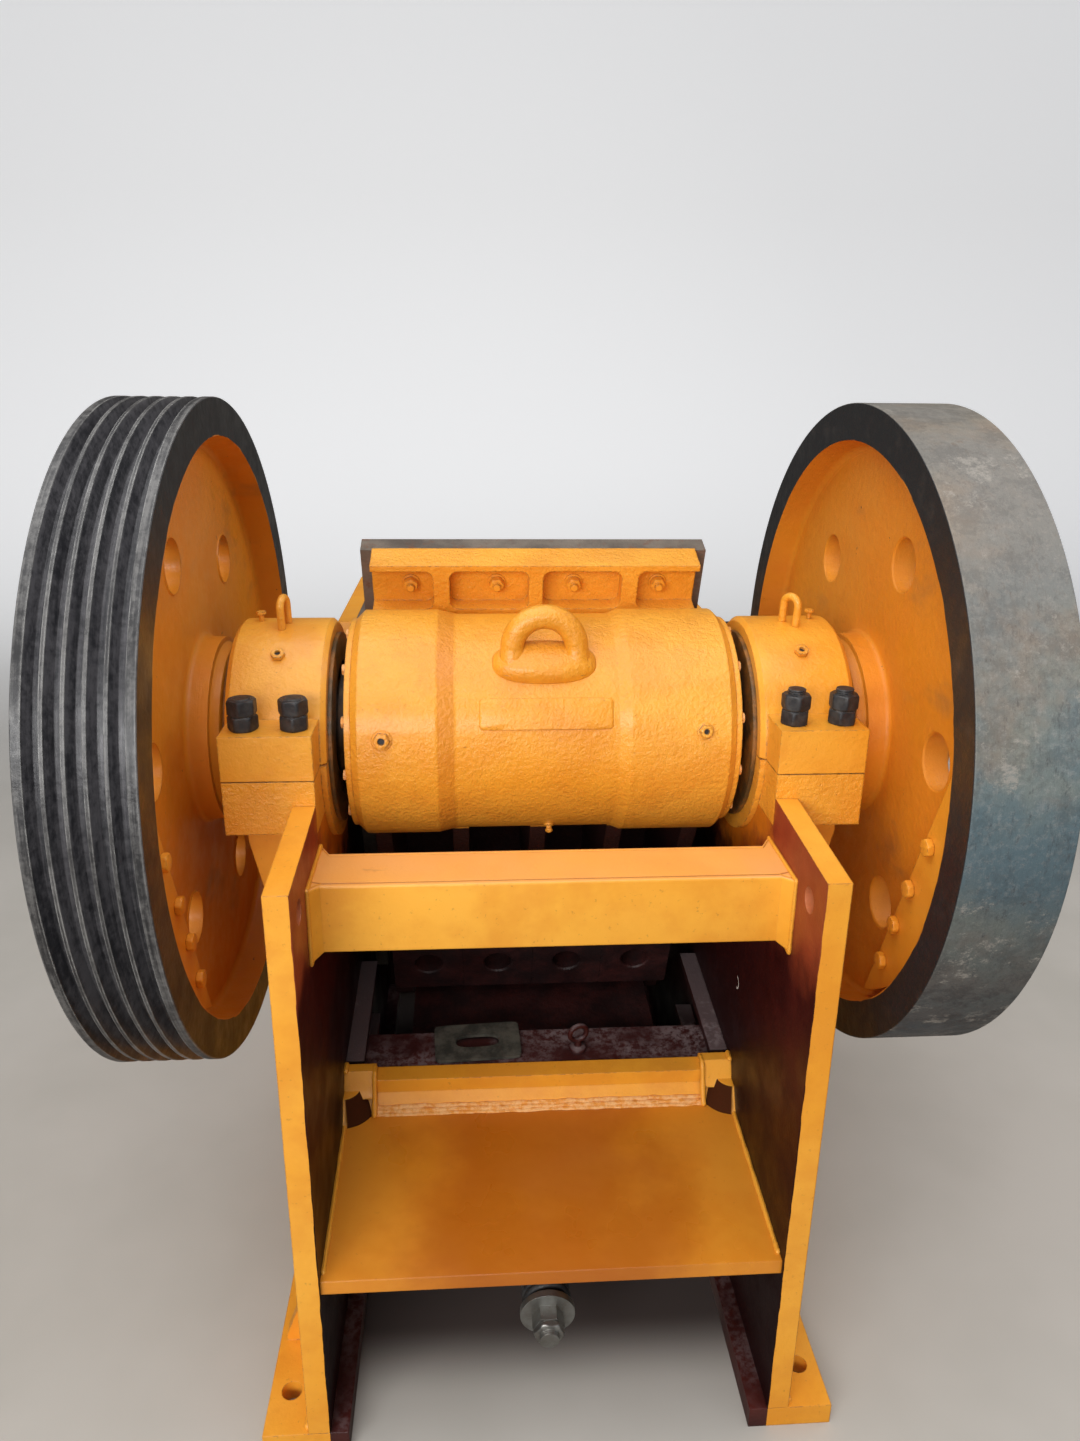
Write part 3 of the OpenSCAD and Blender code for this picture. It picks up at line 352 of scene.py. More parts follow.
def side_plate_paint():
    """Enamel outside and on the edges, primer on the inner face as far as the front wall: painted shade that goes
    nearly black low down, red high up, orange spray round the shaft, a painted highlight where the lifting hole
    is; on the right plate a chalk stroke."""
    f = Finish("side_plate_enamel_and_primer")
    inside = f.under(f.plus(f.size(f.axis(0)), f.vary(24, -0.0008, 0.0008)), wall_in + 0.0012)
    inside = f.times(inside, f.under(f.size(f.facing(2)), 0.5))
    inside = f.times(inside, f.under(f.axis(1), float(wall_face)))
    enamel = f.layers(paint_colour(f), (thin_edges(f, 0.6), DEEP_ORANGE), (chips(f, 0.003, 0.09), WORN_PLATE))
    high = f.step(f.plus(f.axis(2), f.vary(8, -0.03, 0.03)), 0.82, 0.92)
    red = f.mix(f.blots((6, 4, 0.6), 0.35, 0.7), (0.24, 0.04, 0.016), (0.34, 0.072, 0.024))
    spray = f.step(f.plus(f.radius(shaft), f.vary(20, -0.03, 0.03, 4, 0.6)), 0.2, 0.29, 0.9, 0)
    # painted shade: the inner face goes nearly black towards the bottom
    dark = f.layers(
        (0.016, 0.004, 0.004), (f.step(f.axis(2), 0.35, 1), primer_colour(f)), (high, red), (spray, DEEP_ORANGE))
    # painted highlight: a paler disc where the lifting hole behind the top beam is
    hole = f.step(f.radius(shaft + np.array((0, -0.455, -0.117))), 0.0198, 0.0204, 1, 0)
    chalk = f.radius(shaft + np.array((0, -0.136, -0.464)))
    chalk = f.times(f.step(chalk, 0.0095, 0.0105), f.step(chalk, 0.0125, 0.014, 1, 0))
    chalk = f.times(chalk, f.under(f.axis(1), float(shaft[1]) - 0.136))
    chalk = f.times(chalk, f.times(inside, f.over(f.axis(0), 0)))
    colour = f.layers(enamel, (inside, dark), (hole, (0.5, 0.15, 0.055)), (chalk, (0.72, 0.68, 0.62)))
    skin = f.bump(f.noise(*PLATE_GRAIN), 0.0005, f.skin((7, 2, 0.4), 0.004))
    return f.finish(colour, f.vary(11, 0.34, 0.52), skin, shine=f.minus(0.45, f.times(inside, 0.33)))


def jaw_paint():
    """Enamel on the barrel and head, deeper on the slopes beside the left pad as painted shade; primer below them
    wherever the casting stands clear of the barrel, with painted shade in its corners."""
    f = Finish("swing_jaw_enamel_and_primer")
    r = f.radius(eccentric)
    beyond = f.step(f.plus(r, f.vary(18, -0.003, 0.001, 4, 0.6)), barrel_r + 0.001, barrel_r + 0.003)
    low = f.times(beyond, f.step(f.axis(2), eccentric[2] - 0.02, eccentric[2], 1, 0))
    # painted shade: deeper orange on the left slope beside the pad
    slope_shade = f.times(f.step(r, barrel_r - 0.0076, barrel_r - 0.0068),
                    f.step(r, barrel_r - 0.0012, barrel_r - 0.0004, 1, 0))
    slope_shade = f.times(slope_shade, f.times(f.over(f.facing(0), 0.1), f.under(f.axis(0), 0)))
    # painted shade: the primer goes to SHADE in corners
    dark = f.mix(f.step(f.corner(0.12), 0.3, 0.9), (0.032, 0.006, 0.005), SHADE)
    colour = f.layers(
        paint_colour(f, 0.35), (chips(f, 0.004, 0.06), WORN_CAST), (f.times(slope_shade, 0.42), (0.55, 0.15, 0.008)),
        (low, dark))
    return f.finish(colour, f.step(low, 0, 1, 0.32, 0.58), cast_skin(f), **GLOSSY)


def wheel_zones(f):
    """Enamel on web and hub, deepened by painted shade, brushed black on the rim's side faces, with a line that
    wanders a little.
    """
    r = f.plus(f.radius(shaft), f.vary(12, -0.003, 0.003))
    black = f.times(f.step(r, rim_in + 0.002, rim_in + 0.004), f.over(f.size(f.facing(0)), 0.6))
    rim = f.mix(f.blots((26, 5, 0.65), 0.52, 0.75, 0, 0.25), BLACK, (0.075, 0.066, 0.058))
    smears = f.times(f.blots((3.4, 4, 0.6, (1, 1, 2)), 0.58, 0.74), 0.38)
    # painted shade: web and hub enamel deepened all over
    return f.layers(
        paint_colour(f), (0.6, (0.68, 0.2, 0.01)), (smears, (0.16, 0.11, 0.055)),
        (f.blots((44, 5, 0.7), 0.69, 0.73), (0.05, 0.03, 0.022)), (black, rim))


def flywheel_paint():
    """Flywheel: the tread is bare turned iron, mottled grey, brown and greenish, with painted shade darkening it low
    down and a brown stain with painted light making it paler on top, with scale, crust and turning marks."""
    f = Finish("flywheel_enamel_and_turned_iron")
    scale = f.times(f.blots((15, 8, 0.9), 0.48, 0.56), f.step(f.axis(2), 0.78, 0.95, 0.85, 0.25))
    crust = f.times(f.blots((8, 8, 0.85, (1, 1, 1.4)), 0.56, 0.64), 0.7)
    # painted shade darkens the tread low down; on top a brown stain is partly painted light
    iron = f.layers(
        (0.095, 0.145, 0.165), (f.blots((2.6, 5, 0.6), 0.4, 0.62), (0.19, 0.205, 0.175)),
        (f.blots((5.3, 5, 0.65), 0.5, 0.68, 0, 0.7), (0.215, 0.165, 0.125)),
        (f.blots((90, 6, 0.85), 0.48, 0.66, 0, 0.35), (0.34, 0.33, 0.31)),
        (f.blots((40, 8, 0.8, (3, 1, 1)), 0.54, 0.66, 0, 0.6), (0.045, 0.048, 0.052)),
        (f.blots((16, 8, 0.8), 0.62, 0.7, 0, 0.8), (0.06, 0.04, 0.036)),
        (f.step(f.axis(2), 0.62, 1.3, 0.9, 0), (0.028, 0.032, 0.04)),
        (f.step(f.axis(2), 1.15, 1.55, 0, 0.55), (0.27, 0.205, 0.15)), (scale, (0.04, 0.036, 0.036)),
        (crust, (0.33, 0.3, 0.26)))
    tread = f.step(f.radius(shaft), rim_out - 0.0012, rim_out - 0.0004)
    skin = f.bump(f.noise(64, 5, 0.65), 0.0018, f.skin(TURNING, 0.0004, 0.002))
    return f.finish(f.mix(tread, wheel_zones(f), iron), f.vary(18, 0.36, 0.6, 4, 0.6), skin, **DULL)


def sheave_paint():
    """Belt wheel: dark oiled grooves, with painted highlights along the edges of the crests between them."""
    f = Finish("sheave_enamel_and_oiled_grooves")
    r = f.radius(shaft)
    groove = f.times(f.step(r, rim_out - 0.03, rim_out - 0.022), f.under(f.size(f.facing(0)), 0.97))
    streaks = f.plus(f.times(f.noise(1.0, 5, 0.65, (170, 5, 5)), 0.55), f.times(f.noise(70, 6, 0.75), 0.45))
    crest = f.step(r, rim_out - 0.002, rim_out - 0.0004)
    crest_film = f.mix(f.step(streaks, 0.42, 0.62), (0.02, 0.019, 0.02), (0.125, 0.12, 0.115))
    # painted highlight along the crest edges
    crest_highlight = f.times(f.step(f.edge(0.0032), 0.02, 0.2), f.blots((13, 5, 0.7), 0.38, 0.62, 0.2, 1))
    film = f.layers(
        (0.018, 0.018, 0.021), (f.step(streaks, 0.4, 0.62), (0.09, 0.086, 0.092)), (crest, crest_film),
        (f.times(crest_highlight, crest), (0.46, 0.45, 0.43)))
    skin = f.bump(f.noise(80, 4, 0.6), 0.0009, f.skin((1.0, 3, 0.6, (900, 5, 5)), 0.0003, 0.0015))
    return f.finish(f.mix(groove, wheel_zones(f), film), f.vary(18, 0.3, 0.5, 4, 0.6), skin, 0.4, (0.08, 0.2))


def grimy_paint():
    """Cover rings: brown grease and dust over worn enamel."""
    f = Finish("greasy_enamel")
    grease = f.blots((16, 5, 0.65), 0.34, 0.6)
    colour = f.layers(
        (0.33, 0.135, 0.022), (grease, (0.085, 0.05, 0.018)),
        (f.blots((60, 5, 0.7), 0.57, 0.7, 0, 0.7), (0.045, 0.032, 0.018)))
    return f.finish(colour, f.step(grease, 0, 1, 0.5, 0.34), cast_skin(f, 0.6))


def black_paint():
    """Nuts, studs and spring: black paint, worn on the corners."""
    f = Finish("black_nut_paint")
    colour = f.layers(
        (0.018, 0.018, 0.02), (f.blots((60, 4, 0.6), 0.35, 0.7), (0.05, 0.048, 0.046)),
        (chips(f, 0.002, 0.09), (0.24, 0.2, 0.17)))
    return f.finish(colour, f.vary(90, 0.38, 0.6), f.skin((320, 4, 0.6), 0.0005, 0.001), metal=0.2)


def turned_steel():
    """Bright turned steel under a film of oil, rusty in spots."""
    f = Finish("turned_steel")
    colour = f.layers(
        STEEL, (f.blots((22, 4, 0.6), 0.35, 0.7), (0.24, 0.225, 0.2)),
        (f.blots((48, 5, 0.7), 0.6, 0.74, 0, 0.8), (0.15, 0.06, 0.025)))
    return f.finish(colour, f.vary(30, 0.28, 0.46), f.skin((1.0, 3, 0.5, (700, 12, 12)), 0.0003, 0.001), metal=0.85)


def raw_casting():
    """Manganese steel as cast: grey brown scale with rust, and pits."""
    f = Finish("raw_manganese_casting")
    colour = f.layers(
        (0.095, 0.074, 0.058), (f.blots((8, 5, 0.65), 0.35, 0.68), (0.2, 0.165, 0.13)),
        (f.blots((34, 5, 0.7), 0.52, 0.72, 0, 0.75), (0.17, 0.062, 0.026)))
    return f.finish(colour, f.vary(20, 0.55, 0.8), f.skin((120, 5, 0.65), 0.0018), metal=0.2)


def weld_paint():
    """Enamel on weld beads: a paler, rougher coat with spatter."""
    f = Finish("enamel_on_welds")
    colour = f.mix(f.blots((90, 5, 0.75), 0.38, 0.6), (0.8, 0.3, 0.035), (0.92, 0.5, 0.19))
    return f.finish(colour, 0.45, f.bump(f.noise(240, 5, 0.75), 0.0022), coat=(0.06, 0.25))


def shelf_paint():
    """Enamel, deepened all over and darker brown towards the middle of the sloping plate."""
    f = Finish("shelf_enamel")
    across = f.plus(f.times(f.axis(0), f.axis(0)), f.vary(6, -0.02, 0.02, 4, 0.6))
    colour = f.layers(
        paint_colour(f), (0.55, (0.56, 0.145, 0.006)),
        (f.times(f.step(across, 0, 0.085, 1, 0), 0.68), (0.36, 0.074, 0.003)))
    return f.finish(colour, f.vary(7, 0.26, 0.42), f.skin((9, 3, 0.5), 0.003), coat=(0.12, 0.12))


def wall_paint():
    """Front wall: enamel on the feed side, primer on the side towards the jaws."""
    f = Finish("wall_enamel_and_primer")
    colour = f.mix(f.under(f.facing(1), -0.5), paint_colour(f), primer_colour(f, 0.3))
    return f.finish(colour, f.vary(11, 0.34, 0.52), f.skin(PLATE_GRAIN, 0.0006), **DULL)


def foot_paint():
    """Feet: enamel outside the side plates, primer under a little dust between them."""
    f = Finish("foot_enamel_and_primer")
    between = f.under(f.size(f.axis(0)), wall_in + 0.001)
    colour = f.layers(paint_colour(f), (chips(f, 0.003, 0.08), WORN_PLATE), (between, primer_colour(f, 0.4)))
    return f.finish(colour, f.vary(11, 0.34, 0.52), f.skin((150, 4, 0.6), 0.0006), **DULL)


def sheet_metal():
    """Loose steel plate: cut grey sheet with dust on it."""
    f = Finish("grey_sheet")
    colour = f.mix(f.blots((26, 5, 0.65), 0.36, 0.64), (0.05, 0.049, 0.04), (0.135, 0.127, 0.1))
    return f.finish(colour, 0.5, f.bump(f.noise(140, 4, 0.6), 0.0006), metal=0.4)


# Shapes: every function gives points and quads of a closed surface

def grid(points, round_rows=False, round_columns=True):
    """Points in rows and columns, with a quad between each four neighbours; a round direction closes on itself."""
    rows, columns = points.shape[:2]
    i = np.arange(rows if round_rows else rows - 1)[:, None]
    j = np.arange(columns if round_columns else columns - 1)[None, :]
    down, along = (i + 1) % rows, (j + 1) % columns
    quads = np.stack([i * columns + j, down * columns + j, down * columns + along, i * columns + along], -1)
    return points.reshape(-1, 3), quads.reshape(-1, 4)


def round_angles(sides):
    """Angles once round, evenly spaced."""
    return np.linspace(0, 2 * np.pi, sides, endpoint=False)


def axes_for(direction, lean=0.0):
    """Three unit vectors, the last along direction; the first two turned round it by lean radians."""
    w = np.array(direction, float) / np.linalg.norm(direction)
    u = np.cross((0, 0, 1) if abs(w[2]) < 0.9 else (1, 0, 0), w)
    u /= np.linalg.norm(u)
    v = np.cross(w, u)
    return np.array((math.cos(lean) * u + math.sin(lean) * v, math.cos(lean) * v - math.sin(lean) * u, w))


def turned(rows, base, direction, sides=32, lean=0.0):
    """Outline of (height, radius) rows in mm turned round a line; a radius may be an array over the angle."""
    angle = round_angles(sides)
    u, v, w = axes_for(direction, lean)
    radius = np.array([np.broadcast_to(r, angle.shape) for _, r in rows])[..., None] * MM
    height = np.array([h for h, _ in rows])[:, None, None] * MM
    return grid(np.array(base) + height * w + radius * (np.cos(angle)[:, None] * u + np.sin(angle)[:, None] * v))


def hexagon(flat, height, base, direction, lean=0.0, foot=0.0, socket=0.0):
    """Nut or bolt head, in mm: a hexagon whose corners are cut by a cone at both ends, radius = lesser of the two;
    foot is its height over the base, and socket the radius of a round hole sunk in its top."""
    angle = round_angles(48)
    corner = flat / np.cos((angle + np.pi / 6) % (np.pi / 3) - np.pi / 6)
    cut = flat * 0.16
    levels = [(0, 0), (cut / 2, cut / 2), (cut, cut), (height - cut, cut), (height - cut / 2, cut / 2), (height, 0)]
    rows = [(foot, 0.0)] + [(foot + h, np.minimum(corner, flat * 0.985 + 1.2 * d)) for h, d in levels]
    top = [(height, socket), (cut, socket * 0.9), (cut, 0.0)] if socket else [(height, 0.0)]
    return turned(rows + [(foot + h, r) for h, r in top], base, direction, 48, lean)


def threaded(radius, height, base, direction, pitch=3.5):
    """Stud end, in mm: radius falls and rises once a turn along a helix, and tapers at the tip."""
    sides, per_turn = 24, 8
    count = max(int(height / pitch * per_turn), 2)
    angle = round_angles(sides)
    rows = [(0.0, 0.0)]
    for k in range(count + 1):
        h = height * k / count
        wave = np.abs(((h / pitch - angle / (2 * np.pi)) % 1.0) * 2 - 1)
        rows.append((h, np.minimum(radius - wave * pitch * 0.4, radius - pitch * 0.3 + (height - h))))
    return turned(rows + [(height, 0.0)], base, direction, sides)


def tube(path, radius, sides=12, closed=False, swell=1.0):
    """Round section carried along a path; swell may scale its radius in (rows, sides)."""
    path = np.array(path, float)
    ahead = np.roll(path, -1, 0) - np.roll(path, 1, 0)
    if not closed:
        ahead[0], ahead[-1] = path[1] - path[0], path[-1] - path[-2]
    ahead /= np.linalg.norm(ahead, axis=1)[:, None]
    side = np.zeros_like(path)
    side[0] = axes_for(ahead[0])[0]
    for k in range(1, len(path)):
        side[k] = side[k - 1] - ahead[k] * np.dot(side[k - 1], ahead[k])
        side[k] /= np.linalg.norm(side[k])
    other = np.cross(ahead, side)
    angle = round_angles(sides)
    size = (radius * swell * np.ones((len(path), sides)))[..., None]
    ring = np.cos(angle)[None, :, None] * side[:, None] + np.sin(angle)[None, :, None] * other[:, None]
    points = path[:, None] + size * ring
    if not closed:
        first, last = (np.broadcast_to(path[k], (1, sides, 3)) for k in (0, -1))
        points = np.concatenate([first, points, last])
    return grid(points, round_rows=closed)


def bead(path, size, ripple=6 * MM):
    """Weld bead: a tube along a line of points, whose size swells in arcs once a ripple and wanders a little."""
    path = np.array(path, float)
    steps = np.linalg.norm(np.diff(path, axis=0), axis=1)
    far = np.concatenate([[0], np.cumsum(steps)])
    sides, count = 8, max(int(far[-1] / ripple * 3.4), 8)
    t = np.linspace(0, far[-1], count)
    path = np.stack([np.interp(t, far, path[:, k]) for k in range(3)], -1)
    drift = np.convolve(rng.normal(0, 1, count + 12), np.ones(13) / 13, "valid")
    angle = round_angles(sides)
    swell = 1 + 0.12 * np.abs(np.sin(np.pi * (t[:, None] / ripple + 0.35 * np.cos(angle))))
    ends = np.sqrt(np.minimum(1, np.minimum(t, far[-1] - t) / size + 0.05))
    return tube(path, size, sides, swell=swell * (1 + 0.3 * drift[:, None]) * ends[:, None])


def rounded_box_line(half_u, half_v, sharp, sides):
    """Closed line of a superellipse: a rectangle with rounded corners when sharp is high."""
    angle = round_angles(sides)
    c, s = np.cos(angle), np.sin(angle)
    reach = (np.abs(c) ** sharp + np.abs(s) ** sharp) ** (-1 / sharp)
    return half_u * reach * c, half_v * reach * s


def mound(half_u, half_v, sharp, sides, rows, place):
    """Raised ground: in each (share, level) row a rounded outline is shrunk by the share and lifted to the level
    in mm; place maps (u, v, level) to a point."""
    u, v = rounded_box_line(half_u, half_v, sharp, sides)
    share, level = np.array(rows).T[:, :, None]
    return grid(place(share * u, share * v, level * MM))


def piece(name, shapes, material, body, replaces=(), smooth=40):
    """Object from shapes: doubles merged, faces turned outwards, riding on its body."""
    starts = np.cumsum([0] + [len(points) for points, _ in shapes])
    mesh = new_mesh(name, np.concatenate([points for points, _ in shapes]),
                    np.concatenate([quads + start for (_, quads), start in zip(shapes, starts)]))
    work = bmesh.new()
    work.from_mesh(mesh)
    bmesh.ops.remove_doubles(work, verts=work.verts, dist=1e-6)
    bmesh.ops.dissolve_degenerate(work, dist=1e-7, edges=work.edges)
    bmesh.ops.recalc_face_normals(work, faces=work.faces)
    work.to_mesh(mesh)
    work.free()
    mesh.materials.append(material)
    made = add_object(name, mesh)
    mesh.shade_smooth()
    mesh.set_sharp_from_angle(angle=math.radians(smooth))
    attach(made, body)
    if replaces:
        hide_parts(*replaces)


# Pieces

def solid_boxes(node):
    """Lower and upper corner of each separate solid of a CAD node, found from the shells of a merged copy."""
    work = bmesh.new()
    work.from_mesh(nodes[node].data)
    bmesh.ops.remove_doubles(work, verts=work.verts, dist=1e-6)
    left, found = set(work.verts), []
    while left:
        shell, edge = set(), [left.pop()]
        while edge:
            vert = edge.pop()
            shell.add(vert)
            more = [e.other_vert(vert) for e in vert.link_edges if e.other_vert(vert) in left]
            left.difference_update(more)
            edge += more
        spots = np.array([v.co for v in shell])
        found.append((spots.min(0), spots.max(0)))
    work.free()
    return sorted(found, key=lambda box: tuple(np.round(box[0], 4)))


def tilted(origin, degrees):
    """Gives points from x, a length along and a length across a direction that leans up round X, all in mm from
    the origin, and the directions along and across."""
    c, s = math.cos(math.radians(degrees)), math.sin(math.radians(degrees))

    def place(x, along, across):
        x, along, across = np.array(np.broadcast_arrays(x, along, across)) * MM
        return np.stack([origin[0] + x, origin[1] + along * c - across * s, origin[2] + along * s + across * c], -1)
    return place, np.array((0, c, s)), np.array((0, -s, c))


jaw_at, jaw_along, _ = tilted(eccentric, 20.0)
nose = shaft + np.array((0, 5, -702)) * MM
toggle_at, toggle_along, toggle_up = tilted(nose, 4.6)
from_shaft = tilted(shaft, 0.0)[0]


def beside(x, y, z):
    """Point at x in metres, and y and z in mm from the shaft."""
    return np.array((x, shaft[1] + y * MM, shaft[2] + z * MM))


def outward(y, z):
    """Direction from the eccentric's line out towards a point y and z mm from the shaft."""
    out = beside(0, y, z) - eccentric
    out[0] = 0
    return out / np.linalg.norm(out)


def wheel_web(x0, x1, low, high, hole_r, circle_r, angles):
    """Web with round holes: a sector of a ring round each hole, drawn as closed lines that run from the hole's edge
    out along the ray from its centre to the sector's outline; neighbours meet without a wall between them."""
    shapes = []
    half, bevel = np.pi / len(angles), 2.5
    across, up = np.linspace(-half, half, 17), np.linspace(low, high, 17)
    r = np.concatenate([np.full(16, low), up[:-1], np.full(16, high), up[:0:-1]])
    t = np.concatenate([across[:-1], np.full(16, half), across[:0:-1], np.full(16, -half)])
    centre, out = np.array(((circle_r,), (0.0,))), np.stack([r * np.cos(t), r * np.sin(t)])
    ray = out - centre
    ray /= np.linalg.norm(ray, axis=0)
    wide, hole = (centre + ray * radius for radius in (hole_r + bevel, hole_r))
    rows = [(wide, x0), (out, x0), (out, x1), (wide, x1), (hole, x1 - bevel), (hole, x0 + bevel)]
    keep = np.ones((6, 64), bool)
    keep[1, 16:32] = keep[1, 48:] = False  # the walls towards both neighbours
    for turn in angles:
        c, d = math.cos(turn), math.sin(turn)
        points, quads = grid(np.stack([from_shaft(x, c * q[0] - d * q[1], d * q[0] + c * q[1])
                                       for q, x in rows]), round_rows=True)
        shapes.append((points, quads[keep.ravel()]))
    return shapes


def wheel_ring(line, sides):
    """Closed outline of (x, radius) turned once round the shaft."""
    angle = round_angles(sides)
    x, r = np.array(line).T[:, :, None]
    return grid(from_shaft(x + 0 * angle, r * np.cos(angle), r * np.sin(angle)), round_rows=True)


def wheel(name, node, side, grooves, paint):
    """Cast wheel: rim, web with six holes and a hub that meets the web in a small fillet. Outlines are (x, radius)
    in mm, x from the middle of the shaft."""
    x0, x1, web0, web1 = 531.0, 683.0, 585.0, 627.0  # side faces of the rim, faces of the web
    bore_r, web_r, rim_r, groove_r, tread_r = 72.1, 483, 499, 540, 560
    pitch, middle = 26, (x0 + x1) / 2
    a = np.linspace(0, np.pi / 2, 7)
    fillet = [(web0 - 10 * (1 - math.sin(k)), 162 + 10 * (1 - math.cos(k))) for k in a]
    hub = [(x0, bore_r), (x0, 143), (x0 + 2, 146), (x0 + 11, 149), (x0 + 16, 153), (x0 + 17, 161), *fillet,
           (web0 + 6, 198), (web1 - 6, 176), (web1, 176), (web1 + 9, 166), (x1 + 11, 158), (x1 + 14, 155),
           (x1 + 14, bore_r)]
    inner = [(web0 - 12 + 12 * math.sin(k), web_r + 12 * math.cos(k)) for k in a]
    outer = [(web1 + 12 - 12 * math.sin(k), web_r + 12 * math.cos(k)) for k in a]
    groove = [(10.6, tread_r), (10, tread_r - 1), (5, groove_r + 1), (4, groove_r)]
    tread = [(x0, tread_r - 1.5), (x0 + 1.5, tread_r)]
    for c in (np.arange(grooves) - (grooves - 1) / 2) * pitch + middle:
        tread += [(c - half, r) for half, r in groove] + [(c + half, r) for half, r in groove[::-1]]
    tread += [(x1 - 1.5, tread_r), (x1, tread_r - 1.5)]
    rim = [(web0 + 6, web_r - 5), *inner[::-1], (x0, rim_r), *tread, (x1, rim_r), *outer, (web1 - 6, web_r - 5)]
    shapes = [wheel_ring([(side * x, r) for x, r in line], 160) for line in (hub, rim)]
    shapes += wheel_web(side * web0, side * web1, low=150, high=490, hole_r=44, circle_r=335,
                        angles=np.radians(52 + 60 * np.arange(6)))
    piece(name, shapes, paint, "rotor", (node,), smooth=35)


def cap_nuts(side, paint, over):
    """Two nuts a little turned against each other, and the threaded end of each cap stud."""
    shapes, up = [], (0, 0, 1)
    for low, high in solid_boxes(f"cap_bolts_{side}"):
        base = np.array(((low[0] + high[0]) / 2, (low[1] + high[1]) / 2, low[2]))
        turn, flat = rng.uniform(0, 1.0), 20.5
        shapes += [hexagon(flat, 24, base, up, turn), hexagon(flat, 25, base, up, turn + 0.36, 24.5),
                   threaded(14.5, over + 6, base + (0, 0, 44 * MM), up)]
    piece(f"cap_nuts_{side}", shapes, paint, "frame", (f"cap_bolts_{side}",))


def nut_on_stud(flat, base, direction, over, turn, plate=3):
    """Washer with a broken edge, nut and the threaded end that stands over it, in mm."""
    base, direction = np.array(base), np.array(direction, float)
    height, wide, sunk = flat * 1.1, flat * 1.35, 4
    washer = [(0, 0), (0, wide), (plate * 0.7, wide), (plate, wide - plate * 0.3), (plate, 0)]
    return [turned(washer, base, direction), hexagon(flat, height, base, direction, turn, plate),
            threaded(flat * 0.6, over + sunk, base + direction * (plate + height - sunk) * MM, direction, 2.5)]


def jaw_nuts(paint):
    """Nuts and stud ends in the pockets of the head, which hold the swing plate."""
    shapes = []
    for x in (-231, -72, 72, 231):
        shapes += nut_on_stud(12.5, jaw_at(x, 206, 166), -jaw_along, 9, rng.uniform(0, 1))
    piece("jaw_nuts", shapes, paint, "swing_jaw", ("jaw_bolts",))


def gland_bolts(paint):
    """Twelve low heads round each cover ring of the barrel."""
    shapes = []
    for side in (-1, 1):
        for angle in np.arange(12) * np.pi / 6 + 0.2:
            spot = eccentric + 173.5 * MM * np.array((0, math.cos(angle), math.sin(angle)))
            spot[0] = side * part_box("barrel_ring_right")[1][0]
            shapes.append(hexagon(8.5, 5, spot, (side, 0, 0), rng.uniform(0, 1)))
    piece("gland_bolts", shapes, paint, "swing_jaw")


def weight_bolts(paint):
    """Four bolts that hold each counterweight to its web."""
    shapes = []
    for side in (-1, 1):
        for y, z in ((-396, -66), (-353, -159), (-320, -242), (-292, -326)):
            spot = beside(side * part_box("counterweight_right")[0][0], y, z)
            shapes.append(hexagon(13, 11, spot, (-side, 0, 0), rng.uniform(0, 1)))
    piece("weight_bolts", shapes, paint, "rotor")


def on_barrel(shift, degrees):
    """Gives points from u along X, v down round the barrel and a level over its skin; v starts at an angle."""
    def place(u, v, level):
        u, v, level = np.broadcast_arrays(u, v, level)
        angle, r = math.radians(degrees) - v / barrel_skin, barrel_skin + level
        return eccentric + np.stack([u + shift, r * np.cos(angle), r * np.sin(angle)], -1)
    return place


def barrel_details(paint, dark):
    """Two hexagon plugs at the rear of the barrel with painted shade in their sockets, a grease nipple below it, a
    bare raised pad above it and the cast root of its lifting lug."""
    shapes, socket_shades = [], []
    for x, y, z, flat in ((-266, -198, 41, 11.5), (262, -196, 51, 9.5)):
        out = outward(y, z)
        base = eccentric + out * 0.198 + (x * MM, 0, 0)
        shapes.append(turned([(0, 0), (0, flat * 1.5), (3, flat * 1.5), (4, flat * 1.4), (4, 0)], base, out))
        shapes.append(hexagon(flat, 15, base, out, 0.4, socket=flat * 0.5))
        # painted shade: a black disc at the bottom of each plug's socket
        socket_shades.append(turned([(5, 0), (5, flat * 0.46), (9, flat * 0.46), (9, 0)], base, out, 16))
    out = outward(-104, -161)
    nipple = [(0, 0), (0, 9), (5, 9), (6, 5), (11, 5), (12, 6.5), (15, 6.5), (18, 3), (18, 0)]
    shapes.append(turned(nipple, eccentric + out * 0.19 + (0.013, 0, 0), out))
    pad = [(0, 2.4), (0.3, 2.4), (0.6, 2.4), (0.96, 2.4), (0.98, 1.92), (1, 0), (1, -2), (0.5, -2), (0, -2)]
    shapes.append(mound(0.11, 0.0265, 20.0, 64, pad, on_barrel(0.0015, 158.35)))
    root = [(0, 25), (0.35, 24), (0.6, 22), (0.72, 19), (0.82, 15.5), (0.9, 10.5), (0.96, 5), (1, -0.5), (1, -6),
            (0, -6)]
    shapes.append(mound(0.087, 0.04, 2.6, 72, root, on_barrel(0.0, 131.5)))
    piece("barrel_details", shapes, paint, "swing_jaw")
    piece("barrel_plug_sockets", socket_shades, dark, "swing_jaw")


def cap_sockets(paint):
    """Painted shade: a black disc at the bottom of each socket in the plugs of both caps."""
    lean = math.radians(34)
    out = np.array((0, -math.sin(lean), math.cos(lean)))
    shapes = [turned([(1, 0), (1, 4.6), (4, 4.6), (4, 0)], shaft + out * 0.193 + (side * 0.435, 0, 0), out, 16)
              for side in (-1, 1)]
    piece("cap_plug_sockets", shapes, paint, "frame")


